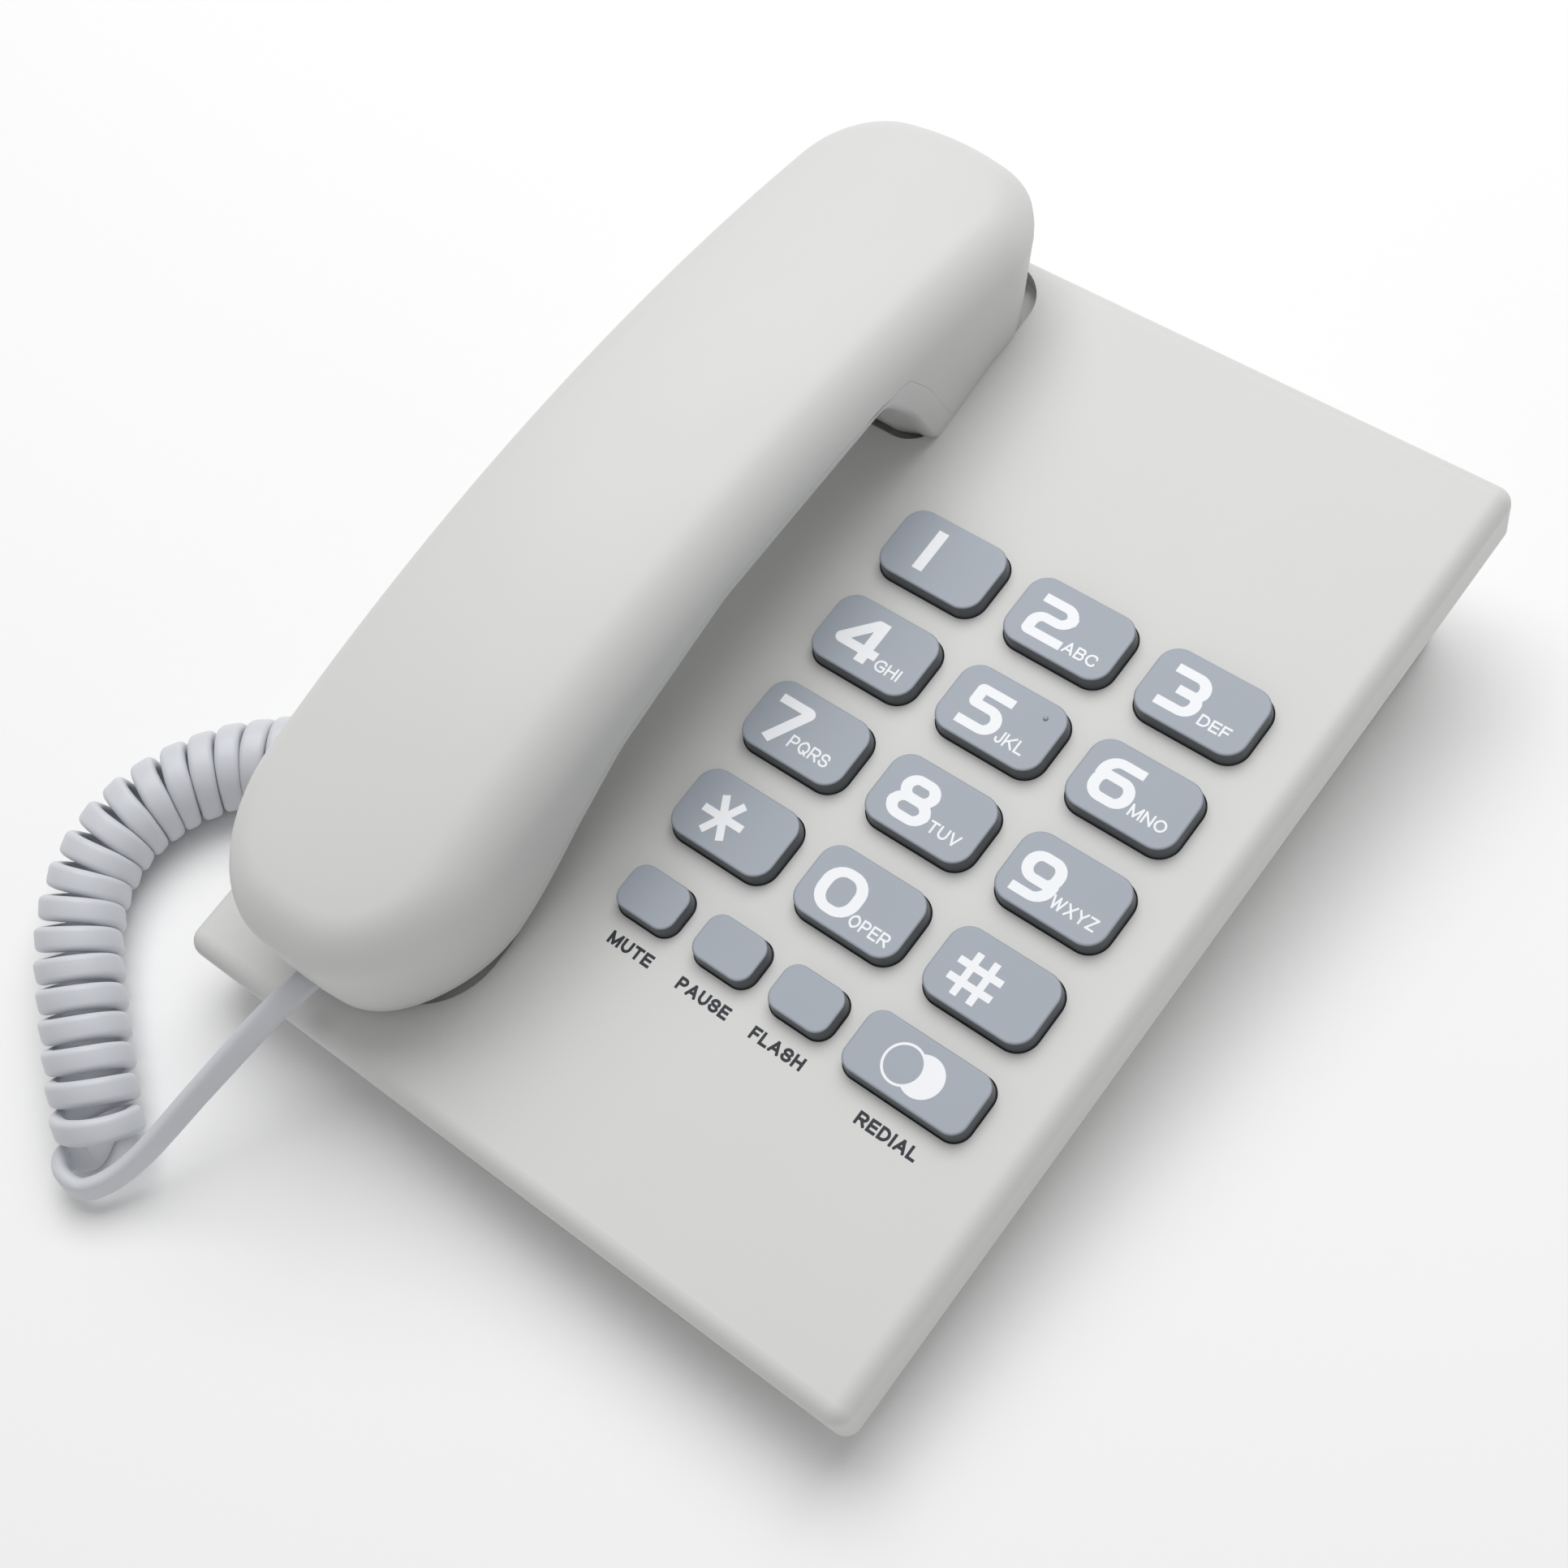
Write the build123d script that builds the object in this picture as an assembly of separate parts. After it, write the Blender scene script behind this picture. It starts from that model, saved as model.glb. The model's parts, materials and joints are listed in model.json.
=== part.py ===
from build123d import *
import os
from math import cos, radians, sin, tan

os.makedirs("parts", exist_ok=True)

# A corded desk telephone. All sizes are in millimetres.
#
# World frame: X to the user's right, +Y to the back, +Z up. Z = 0 is the underside of the
# bottom cover. The origin is the middle of the pair of wall-mount keyholes.
# Plate frame: origin at the middle of the top plate's outer face, Z along the plate's normal.
# The plate frame is tilted up towards the back; PLATE turns plate coordinates into world ones.

# ---- base ----
TILT = 6.0  # slope of the top plate, degrees
PLATE_HEIGHT = 27.6  # middle of the top plate above the underside
BASE_WIDTH = 148.6
BASE_LENGTH = 193.8
BASE_X = -1.1  # middle of the skirt's outline in the plate frame
BASE_Y = -0.6
BASE_CORNER = 3.4  # corner radius of the top plate in plan
TOP_EDGE = 3.2  # soft round of the top edge
SKIRT = 11.0  # height of the skirt round the top plate
DRAFT = 2.8  # the skirt leans in towards its lower edge, degrees
WALL = 2.2  # general wall thickness of the mouldings
GAP = 0.3  # assembly clearance between mouldings

# ---- bottom cover: a wedge-shaped tub set in from the skirt ----
TUB_WIDTH = 131.0
TUB_FRONT = -90.5
TUB_BACK = 87.0
TUB_CORNER = 8.0
FLANGE = 2.0  # thickness of the rim that closes the skirt
KEYHOLE_SPACING = 83.0
KEYHOLE_ENTRY = 4.5  # radius of the round entry
KEYHOLE_SLOT = 2.25  # half the slot's width
KEYHOLE_RUN = 8.0  # how far the slot runs up from the entry
FOOT_RADIUS = 6.0
FOOT_RECESS = 1.0
FOOT_DROP = 1.5  # how far a foot stands below the underside
FEET = [(-54, -80), (54, -80), (-54, 76), (54, 76)]

# ---- base screws, driven from below along the plate's normal ----
BASE_SCREWS = [(52, -67), (52, 61), (-56, -40), (-56, 40)]
BOSS_END = -14.0  # level where the two covers' bosses meet
SCREW_SEAT = -16.5
SCREW_HEAD = 2.8  # head radius
SCREW_SHANK = 1.5  # shank radius
SCREW_LENGTH = 11.0

# ---- keys ----
KEY_PITCH_X = 27.0
KEY_PITCH_Y = 20.0
KEYPAD_X = 24.4  # middle column
KEYPAD_Y = 3.5  # halfway between the two middle rows
KEY_HEIGHT = 3.0  # how far a cap stands above the plate
KEY_TRAVEL = 1.5
KEY_SIZE = (22.0, 14.2, 4.0)  # width, length and corner radius of a dial key
REDIAL_SIZE = (24.9, 12.2, 3.2)
FUNCTION_SIZE = (12.7, 9.3, 3.0)
KEY_DRAFT = 4.0
KEY_EDGE = 0.45  # round of a cap's top edge
KEY_CLEARANCE = 0.25
KEY_LIP = 1.2  # retaining lip under the plate
LIP_TOP = -2.5
LIP_BOTTOM = -4.0
CAP_SKIN = 1.2
STEM_RADIUS = 2.0
DIAL_ROWS = [
    ("key_1", "key_2", "key_3"),
    ("key_4", "key_5", "key_6"),
    ("key_7", "key_8", "key_9"),
    ("key_star", "key_0", "key_hash"),
]
FUNCTION_KEYS = {
    "key_mute": (-5.9, -45.0, FUNCTION_SIZE),
    "key_pause": (11.0, -45.0, FUNCTION_SIZE),
    "key_flash": (27.4, -45.0, FUNCTION_SIZE),
    "key_redial": (50.0, -45.1, REDIAL_SIZE),
}

# ---- keypad sheet and main board ----
SHEET_TOP = -7.2
SHEET_THICKNESS = 1.0
DOME_TOP = LIP_BOTTOM - KEY_TRAVEL - 0.2
DOME_RADII = (4.6, 3.0)
BOARD_THICKNESS = 1.6
BOARD_HOLE = 1.3
BOARD_SCREW = (2.2, 1.4, 1.15, 5.4)  # head radius and height, shank radius and length
BOARD = (-18.0, 62.5, -58.5, 48.2)  # x from, x to, y from, y to
SHEET = (-12.8, 61.9, -52.6, 42.4)
BOARD_POSTS = [(-15.3, -55.5), (59.5, -55.5), (-15.3, 45.4), (59.5, 45.4)]
POST_RADIUS = 2.5
CHIP = (12.0, 35.0, 3.2)  # x from, x to, half of the body's width
CHIP_LEVELS = (4.2, 0.6)  # underside and top of the body below the board
LEG_PITCH = 2.54
LEG_ROW = 3.7  # from the chip's middle to a row of legs
LEGS_PER_ROW = 9
CAPACITORS = [(-6, 24), (46, 26), (56, 18)]
CAN_RADIUS = 3.15
CAN_HEIGHT = 8.0
RESISTOR_X = 24.0
RESISTOR_ROWS = [12, 16, 20, 24, 28, 32]
RESISTOR_BODY = (1.2, 6.5)  # radius and length
LEAD_SPAN = 4.8  # from the middle to a bent lead
LEAD_RADIUS = 0.3
TOUCH_MARK = (6.7, 3.7, 0.5)  # offset from the key's middle, and radius

# ---- handset ----
HANDSET_X = -43.5  # its centre line, left of the base's middle
HANDSET_HALF = 24.7  # half of its width
HANDSET_BACK = 99.6
HANDSET_FRONT = -90.5
ARCH_TOP = 39.6  # highest point above the plate
ARCH_Y = -6.0  # where that point is
ARCH_RADIUS = 370.0
CROWN_RADIUS = 95.0  # bulge across the back of the handset
END_BOW_BACK = 75.0  # radius of the bowed ends in plan
END_BOW_FRONT = 60.0
END_CORNER_BACK = 12.0
END_CORNER_FRONT = 19.0
SIDE_DRAFT = 6.0
WIDEST = 15.0  # level below which the sides lean in
CROWN_EDGE = 9.0  # round between the sides and the crown
LOWER_EDGE = 3.0  # round of the underside
HANDSET_WALL = 2.2
EAR_FACE = -4.0  # underside of the ear end
MOUTH_FACE = -2.2  # underside of the mouth end
GRIP_UNDER = 22.0  # underside of the grip
MOUTH_TUCK = 6.0  # how far the mouth end tucks in under itself
EAR_TUCK = 12.0  # the same at the ear end
SEAM = 3.2  # the inner shell's edge above the underside

# y, seat level, and underside of the boss that takes the screw
HANDSET_SCREWS = [(36.0, 25.2, 27.2), (-47.0, 13.6, 15.6)]
RECEIVER_Y = 71.5
RECEIVER_RADIUS = 14.5
MICROPHONE_Y = -70.9
MICROPHONE_RADIUS = 4.7
JACK_LEVEL = 9.5  # middle of the handset jack above the plate
PLUG_OUT = -87.6  # outer and inner end of the cord's plug
PLUG_IN = -78.0
JACK_FRONT = -85.8
JACK_BACK = -76.8

# ---- cups in the top plate ----
CUP_GAP = 0.2
# middle y, width, length, corner radius at the front, and at the back
EAR_CUP = (72.3, 44.8, 42.4, 6.5, 9.0)
MOUTH_CUP = (-68.0, 41.4, 33.4, 15.0, 15.0)
SEAT_LEVEL = 0.35  # below this level only the handset's seats reach down, into the cups
TAB_SLOT = (12.0, 2.2, -7.9)  # width, thickness and floor of the hanging tab's slot
TAB_BLOCK = (17.0, 3.2, 3.6, -9.2)  # width, reach to the front and back, underside

# ---- hook plunger ----
HOOK_Y = 60.0
HOOK_RISE = 4.0
HOOK_PAD = (8.0, 5.0)
HOOK_FLANGE = (12.0, 9.0)
HOOK_FLANGE_TOP = EAR_FACE - CUP_GAP - WALL - HOOK_RISE
HOOK_FLANGE_BOTTOM = HOOK_FLANGE_TOP - 1.6
HOOK_STEM = 1.5  # radius
HOOK_SWITCH_BODY = (14.0, 10.0)
SPRING = (5, 2.9, 0.3)  # turns, radius and wire radius
HOOK_SWITCH_TOP = -24.0
HOOK_SWITCH_BOTTOM = -31.0

# ---- rear controls and jacks ----
REAR_WALL = TUB_BACK
LEFT_WALL = -TUB_WIDTH / 2
LINE_JACK = (-10.0, -23.0)  # x and level of the socket's middle
DIAL_MODE = (20.0, -22.0)
RINGER_LEVEL = (40.0, -22.0)
KNOB_TRAVEL = 4.0
SWITCH_BODY = (4.5, 6.0, 3.0)  # half length, depth and half height
LINE_SOCKET = (14.0, 14.0, 12.0)  # width, depth and height of the line socket
CORD_SOCKET = (12.0, 12.0, 9.8)  # the same of the sockets for the handset's cord
SOUNDER_RADIUS = 13.0
SOUNDER_HEIGHT = 6.0
SOUND_HOLE = 1.1
BALLAST = (12, 58, -58, -14, 2.5)  # x from, x to, y from, y to, thickness
SOUNDER = (22.0, 62.0)  # middle of the sounder on the tub's floor
CORD_JACK_Y = -26.0
CORD_JACK_Z = -17.4

# ---- cord ----
COIL_RADIUS = 8.0
COIL_BORE = 5.0
DESK = -FOOT_DROP
LEAD = 2.2  # radius of the cord outside the coil
COIL_RUNS = [(-84.0, -49.0), (-126.7, -85.6), (-69.0, -129.5)]  # corners of the coil's path
COIL_BEND = 31.0
TAIL_BEND = 3.0
TAIL_START = (-74.0, -132.8, 3.2)  # in the wall of the coil's last turn
TAIL_CORNERS = [(-65.0, -141.0, 2.5), (-56.5, -128.0, 8.0)]
ROOT_CORNERS = [(-78.5, -24.0, 7.1), (-78.3, -48.0, 6.5)]
ROOT_END = (-81.3, -55.2, 6.5)  # in the wall of the coil's first turn

PLATE = Location((0, 0, PLATE_HEIGHT), (TILT, 0, 0))


def to_world(x, y, z):
    """World position of a point given in the plate frame."""
    return tuple((PLATE * Pos(x, y, z)).position)


def block(x0, x1, y0, y1, z0, z1):
    """A box given by its limits."""
    return Pos((x0 + x1) / 2, (y0 + y1) / 2, (z0 + z1) / 2) * Box(x1 - x0, y1 - y0, z1 - z0)


def post(x, y, radius, z0, z1):
    """An upright cylinder given by its ends."""
    return Pos(x, y, (z0 + z1) / 2) * Cylinder(radius, z1 - z0)


def prism(x, y, width, length, corner, z0, z1, taper=0):
    """A rounded rectangle extruded from z0 to z1. It narrows along the way by the taper angle."""
    outline = Pos(x, y, z0) * RectangleRounded(width, length, corner)
    direction = (0, 0, 1) if z1 > z0 else (0, 0, -1)
    return extrude(outline, amount=abs(z1 - z0), dir=direction, taper=taper)


def tube(x, y, outer, inner, z0, z1):
    """An upright ring."""
    return post(x, y, outer, z0, z1) - post(x, y, inner, z0, z1)


# ---------------------------------------------------------------- keys


def key_places():
    """Name, middle and size of every key, in the plate frame."""
    places = {}
    for row, names in enumerate(DIAL_ROWS):
        for column, name in enumerate(names):
            x = KEYPAD_X + (column - 1) * KEY_PITCH_X
            y = KEYPAD_Y + (1.5 - row) * KEY_PITCH_Y
            places[name] = (x, y, KEY_SIZE)
    places.update(FUNCTION_KEYS)
    return places


def key_cap(x, y, size):
    """A hollow cap with a lip under the plate and a stem over its dome."""
    width, length, corner = size
    cap = prism(x, y, width, length, corner, 0, KEY_HEIGHT, KEY_DRAFT)
    cap = fillet(cap.edges().group_by(Axis.Z)[-1], KEY_EDGE)
    cap += prism(x, y, width, length, corner, LIP_TOP, 0)
    cap += prism(x, y, width + 2 * KEY_LIP, length + 2 * KEY_LIP, corner, LIP_BOTTOM, LIP_TOP)
    skin = 2 * CAP_SKIN
    roof = KEY_HEIGHT - CAP_SKIN
    hollow = (width - skin, length - skin, corner - CAP_SKIN)
    cap -= prism(x, y, *hollow, LIP_BOTTOM, roof - 0.3, KEY_DRAFT)
    return cap + post(x, y, STEM_RADIUS, LIP_BOTTOM, roof)


def touch_mark(x, y):
    """The small raised mark on the middle key that a finger finds."""
    dx, dy, radius = TOUCH_MARK
    return Pos(x + dx, y + dy, KEY_HEIGHT - 0.3 * radius) * Sphere(radius)


def keypad_sheet():
    """Silicone sheet with one dome under each key."""
    bottom = SHEET_TOP - SHEET_THICKNESS
    sheet = block(SHEET[0], SHEET[1], SHEET[2], SHEET[3], bottom, SHEET_TOP)
    for x, y, _ in key_places().values():
        height = DOME_TOP - SHEET_TOP
        sheet += Pos(x, y, SHEET_TOP + height / 2) * Cone(DOME_RADII[0], DOME_RADII[1], height)
    return sheet


# ---------------------------------------------------------------- board


def board():
    """Main board with holes for its four screws."""
    top = SHEET_TOP - SHEET_THICKNESS
    plate = block(BOARD[0], BOARD[1], BOARD[2], BOARD[3], top - BOARD_THICKNESS, top)
    for x, y in BOARD_POSTS:
        plate -= post(x, y, BOARD_HOLE, top - BOARD_THICKNESS, top)
    return plate


def board_screws():
    """Small pan-head screws that hold the board up to the top cover's posts."""
    under = SHEET_TOP - SHEET_THICKNESS - BOARD_THICKNESS
    head, height, shank, length = BOARD_SCREW
    screws = []
    for x, y in BOARD_POSTS:
        screw = post(x, y, head, under - height, under) + post(x, y, shank, under, under + length)
        screws.append(screw)
    return Compound(screws)


def board_part_level():
    return SHEET_TOP - SHEET_THICKNESS - BOARD_THICKNESS


def dialler_chip():
    """Dual-in-line chip under the board, with its two rows of legs."""
    board_face = board_part_level()
    x_from, x_to, half = CHIP
    low, high = CHIP_LEVELS
    chip = block(x_from, x_to, -half, half, board_face - low, board_face - high)
    first = (x_from + x_to - LEG_PITCH * (LEGS_PER_ROW - 1)) / 2
    for index in range(LEGS_PER_ROW):
        x = first + index * LEG_PITCH
        for y in (-LEG_ROW, LEG_ROW):
            chip += block(x - 0.25, x + 0.25, y - 0.55, y + 0.55, board_face - 3, board_face)
    return chip


def capacitors():
    """Three upright electrolytic capacitors under the board."""
    board_face = board_part_level()
    cans = []
    for x, y in CAPACITORS:
        can = post(x, y, CAN_RADIUS, board_face - CAN_HEIGHT, board_face)
        cans.append(fillet(can.edges().group_by(Axis.Z)[0], 0.5))
    return Compound(cans)


def resistors():
    """A row of axial resistors lying under the board, with their bent leads."""
    board_face = board_part_level()
    radius, length = RESISTOR_BODY
    parts = []
    for y in RESISTOR_ROWS:
        lying = Pos(RESISTOR_X, y, board_face - radius - 0.1) * Rot(0, 90, 0)
        part = lying * Cylinder(radius, length) + lying * Cylinder(LEAD_RADIUS, 2 * LEAD_SPAN + 0.4)
        for x in (RESISTOR_X - LEAD_SPAN, RESISTOR_X + LEAD_SPAN):
            low = board_face - radius - 0.1 - LEAD_RADIUS
            part += block(
                x - LEAD_RADIUS, x + LEAD_RADIUS, y - LEAD_RADIUS, y + LEAD_RADIUS, low, board_face
            )
        parts.append(part)
    return Compound(parts)


# ---------------------------------------------------------------- top cover


def cup_outline(cup, grow, z0, z1):
    """A prism of a cup's outline in the plate, grown outwards by a margin."""
    y, width, length, front, back = cup
    width += 2 * grow
    length += 2 * grow
    outline = prism(HANDSET_X, y, width, length, front + grow, z0, z1)
    if back > front:
        outline &= prism(HANDSET_X, y - back, width, length + 2 * back, back + grow, z0, z1)
    return outline


def cup_floor(face):
    return face - CUP_GAP


def hook_opening(z0, z1):
    width, length = HOOK_PAD
    return prism(HANDSET_X, HOOK_Y, width + 0.6, length + 0.6, 1.2, z0, z1)


def hanging_tab_place():
    return EAR_CUP[0] - EAR_CUP[2] / 2 - WALL - 1.6


def hanging_tab_slot(gap, z0, z1):
    """Space of the wall-hanging tab in front of the ear cup."""
    half = TAB_SLOT[0] / 2 + gap
    deep = TAB_SLOT[1] / 2 + gap
    y = hanging_tab_place()
    return block(HANDSET_X - half, HANDSET_X + half, y - deep, y + deep, z0, z1)


def top_cover():
    """Plate, skirt, the two cups, posts for the board and bosses for the base screws."""
    cover = prism(BASE_X, BASE_Y, BASE_WIDTH, BASE_LENGTH, BASE_CORNER, 0, -SKIRT, DRAFT)
    cover = fillet(cover.edges().group_by(Axis.Z)[-1], TOP_EDGE)
    inset = 2 * (WALL + WALL * tan(radians(DRAFT)))
    inside = (BASE_WIDTH - inset, BASE_LENGTH - inset, BASE_CORNER - WALL)
    cover -= prism(BASE_X, BASE_Y, *inside, -WALL, -SKIRT, DRAFT)
    for cup, face in ((EAR_CUP, EAR_FACE), (MOUTH_CUP, MOUTH_FACE)):
        floor = cup_floor(face)
        room = prism(BASE_X, BASE_Y, BASE_WIDTH - 4, BASE_LENGTH - 4, 1.4, -1, -SKIRT, DRAFT)
        cover += cup_outline(cup, WALL, floor - WALL, -1) & room
        cover -= cup_outline(cup, 0, floor, 1)
    wide, front, back, low = TAB_BLOCK
    slot_y = hanging_tab_place()
    cover += block(
        HANDSET_X - wide / 2, HANDSET_X + wide / 2, slot_y - front, slot_y + back, low, -1
    )
    cover -= hanging_tab_slot(GAP / 2, TAB_SLOT[2], 1)
    cover -= hook_opening(EAR_FACE - 12, 1)
    for x, y, (width, length, corner) in key_places().values():
        gap = 2 * KEY_CLEARANCE
        cover -= prism(x, y, width + gap, length + gap, corner + KEY_CLEARANCE, -WALL - 1, 1)
    for x, y in BOARD_POSTS:
        cover += post(x, y, POST_RADIUS, SHEET_TOP - SHEET_THICKNESS, -1.5)
        cover -= post(x, y, BOARD_SCREW[2] + 0.05, SHEET_TOP - SHEET_THICKNESS - 1, -2)
    for x, y in BASE_SCREWS:
        cover += post(x, y, 3.5, BOSS_END, -1.5)
        cover -= post(x, y, SCREW_SHANK + 0.03, BOSS_END - 1, SCREW_SEAT + SCREW_LENGTH + 1)
    return cover


# ---------------------------------------------------------------- bottom cover


def tub_prism(inset, z0, z1):
    """The tub's plan outline, set in by a margin, extruded in the plate frame."""
    front = TUB_FRONT + inset
    back = TUB_BACK - inset
    width = TUB_WIDTH - 2 * inset
    return prism(0, (front + back) / 2, width, back - front, TUB_CORNER - inset, z0, z1)


def above(level):
    """Everything above a level of the world frame."""
    return block(-120, 120, -140, 140, level, 80)


def keyhole(y):
    """Round entry with a slot that runs up towards the back."""
    hole = post(0, y, KEYHOLE_ENTRY, -1, WALL + 1)
    hole += block(-KEYHOLE_SLOT, KEYHOLE_SLOT, y, y + KEYHOLE_RUN, -1, WALL + 1)
    return hole + post(0, y + KEYHOLE_RUN, KEYHOLE_SLOT, -1, WALL + 1)


def bottom_cover():
    """Rim that closes the skirt, and the wedge-shaped tub below it."""
    top = -SKIRT + FLANGE
    lean = (SKIRT - FLANGE) * tan(radians(DRAFT))
    inset = 2 * (lean + WALL / cos(radians(DRAFT)) + GAP)
    outline = (BASE_WIDTH - inset, BASE_LENGTH - inset, BASE_CORNER - WALL)
    rim = prism(BASE_X, BASE_Y, *outline, top, -SKIRT, DRAFT)
    tub = PLATE * (rim + tub_prism(0, top, -45)) & above(0)
    tub -= (PLATE * tub_prism(WALL, top + 1, -45)) & above(WALL)
    for x, y in BASE_SCREWS:
        boss = post(x, y, 4.0, -45, BOSS_END - 0.05)
        tub += (PLATE * boss) & above(0)
        tub -= PLATE * post(x, y, SCREW_SHANK + 0.2, -45, 0)
        tub -= PLATE * post(x, y, SCREW_HEAD + 0.3, -60, SCREW_SEAT)
    for y in (-KEYHOLE_SPACING / 2, KEYHOLE_SPACING / 2):
        tub -= keyhole(y)
    for x, y in FEET:
        tub -= post(x, y, FOOT_RADIUS + 0.1, -1, FOOT_RECESS)
    tub -= PLATE * line_jack_space(0.1)
    tub -= PLATE * cord_jack_space(0.1)
    for x, z in (DIAL_MODE, RINGER_LEVEL):
        slot = block(x - 2, x + 2 + KNOB_TRAVEL, REAR_WALL - 4, REAR_WALL + 2, z - 1.7, z + 1.7)
        tub -= PLATE * slot
    for dx, dy in ((0, 0), (6, 0), (-6, 0), (0, 6), (0, -6)):
        tub -= post(SOUNDER[0] + dx, SOUNDER[1] + dy, SOUND_HOLE, -1, WALL + 1)
    return tub


def rubber_feet():
    """Four round feet pressed into shallow pockets."""
    feet = []
    for x, y in FEET:
        foot = post(x, y, FOOT_RADIUS, -FOOT_DROP, FOOT_RECESS)
        feet.append(fillet(foot.edges().group_by(Axis.Z)[0], 0.6))
    return Compound(feet)


def base_screws():
    """Pan-head screws with a cross slot."""
    screws = []
    for x, y in BASE_SCREWS:
        screw = post(x, y, SCREW_HEAD, SCREW_SEAT - 2, SCREW_SEAT)
        screw = fillet(screw.edges().group_by(Axis.Z)[0], 0.7)
        screw += post(x, y, SCREW_SHANK, SCREW_SEAT, SCREW_SEAT + SCREW_LENGTH)
        for half_x, half_y in ((1.6, 0.35), (0.35, 1.6)):
            low, high = SCREW_SEAT - 3, SCREW_SEAT - 1
            screw -= block(x - half_x, x + half_x, y - half_y, y + half_y, low, high)
        screws.append(screw)
    return Compound(screws)


# ---------------------------------------------------------------- jacks, switches, sounder


def line_jack_space(gap):
    """Room for the line socket in the rear wall."""
    x, z = LINE_JACK
    wide, deep, high = LINE_SOCKET
    half = wide / 2 + gap
    tall = high / 2 + gap
    return block(x - half, x + half, REAR_WALL - deep, REAR_WALL + 5, z - tall, z + tall)


def line_jack():
    """Six-position telephone socket with its latch notch, open to the back."""
    x, z = LINE_JACK
    face = REAR_WALL
    wide, deep, high = LINE_SOCKET
    jack = block(x - wide / 2, x + wide / 2, face - deep, face, z - high / 2, z + high / 2)
    jack -= block(x - 4.85, x + 4.85, face - 12, face + 1, z - 2.6, z + 4.0)
    jack -= block(x - 3.1, x + 3.1, face - 12, face + 1, z - 4.4, z - 2.6)
    return jack


def line_jack_contacts():
    """Sprung contact wires that lie in the line socket."""
    x, z = LINE_JACK
    wires = []
    for index in range(4):
        wire_x = x + (index - 1.5) * 1.02
        wire = Pos(wire_x, REAR_WALL - 7, z + 2.2) * Rot(72, 0, 0) * Cylinder(0.2, 9)
        wires.append(wire)
    return Compound(wires)


def cord_jack_space(gap):
    """Room for the cord socket in the left wall."""
    wide, deep, high = CORD_SOCKET
    y, z = CORD_JACK_Y, CORD_JACK_Z
    half = wide / 2 + gap
    tall = high / 2 + gap
    return block(LEFT_WALL - 5, LEFT_WALL + deep, y - half, y + half, z - tall, z + tall)


def cord_jack():
    """Four-position socket for the handset cord, open to the left."""
    wide, deep, high = CORD_SOCKET
    x, y, z = LEFT_WALL, CORD_JACK_Y, CORD_JACK_Z
    jack = block(x, x + deep, y - wide / 2, y + wide / 2, z - high / 2, z + high / 2)
    return jack - block(x - 1, x + deep - 1.5, y - 4, y + 4, z - 3.4, z + 3.4)


def slide_switch(place):
    """Body of a small slide switch behind the rear wall, hollow for its knob's foot."""
    x, z = place
    back = REAR_WALL - WALL
    half, deep, tall = SWITCH_BODY
    body = block(x - half, x + half + KNOB_TRAVEL, back - deep, back - 0.1, z - tall, z + tall)
    return body - block(x - 3.0, x + 3.0 + KNOB_TRAVEL, back - 4.5, back + 1, z - 2.2, z + 2.2)


def switch_knob(place):
    """Knob that slides in its slot, with a ribbed outer end."""
    x, z = place
    back = REAR_WALL - WALL
    foot = block(x - 2.6, x + 2.6, back - 4.2, back - 1.0, z - 2.0, z + 2.0)
    stem = block(x - 1.6, x + 1.6, back - 1.0, REAR_WALL + 1.8, z - 1.5, z + 1.5)
    knob = foot + stem
    for dx in (-0.9, 0, 0.9):
        knob -= block(x + dx - 0.2, x + dx + 0.2, REAR_WALL + 1.5, REAR_WALL + 2, z - 2, z + 2)
    return knob


def sounder():
    """Round piezo sounder in its plastic housing, with a sound hole."""
    x, y = SOUNDER
    housing = post(x, y, SOUNDER_RADIUS, WALL, WALL + SOUNDER_HEIGHT)
    housing = fillet(housing.edges().group_by(Axis.Z)[-1], 0.8)
    return housing - post(x, y, 3, WALL - 1, WALL + 2)


def ballast():
    """Steel plate on the tub's floor that keeps the light base from sliding."""
    x_from, x_to, y_from, y_to, thickness = BALLAST
    plate = block(x_from, x_to, y_from, y_to, WALL, WALL + thickness)
    return fillet(plate.edges().filter_by(Axis.Z), 3)


# ---------------------------------------------------------------- hook


def hook_plunger():
    """Plunger that the resting handset holds down."""
    width, length = HOOK_PAD
    top = EAR_FACE - 0.1
    pad = prism(HANDSET_X, HOOK_Y, width, length, 1.0, HOOK_FLANGE_TOP, top)
    pad = fillet(pad.edges().group_by(Axis.Z)[-1], 0.8)
    flange_x, flange_y = HOOK_FLANGE
    pad += prism(HANDSET_X, HOOK_Y, flange_x, flange_y, 1.0, HOOK_FLANGE_BOTTOM, HOOK_FLANGE_TOP)
    return pad + post(HANDSET_X, HOOK_Y, HOOK_STEM, HOOK_SWITCH_TOP - 4.5, HOOK_FLANGE_BOTTOM)


def hook_switch():
    """Switch body on the tub's floor that takes the plunger's stem."""
    x, y = HANDSET_X, HOOK_Y
    wide, deep = HOOK_SWITCH_BODY
    top = HOOK_SWITCH_TOP
    body = block(x - wide / 2, x + wide / 2, y - deep / 2, y + deep / 2, HOOK_SWITCH_BOTTOM, top)
    body -= post(x, y, HOOK_STEM + 0.4, top - 5.5, top + 1)
    for leg_x in (x - 4, x, x + 4):
        body += block(leg_x - 0.4, leg_x + 0.4, y + deep / 2, y + 8, top - 3, top - 2.6)
    return body


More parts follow.
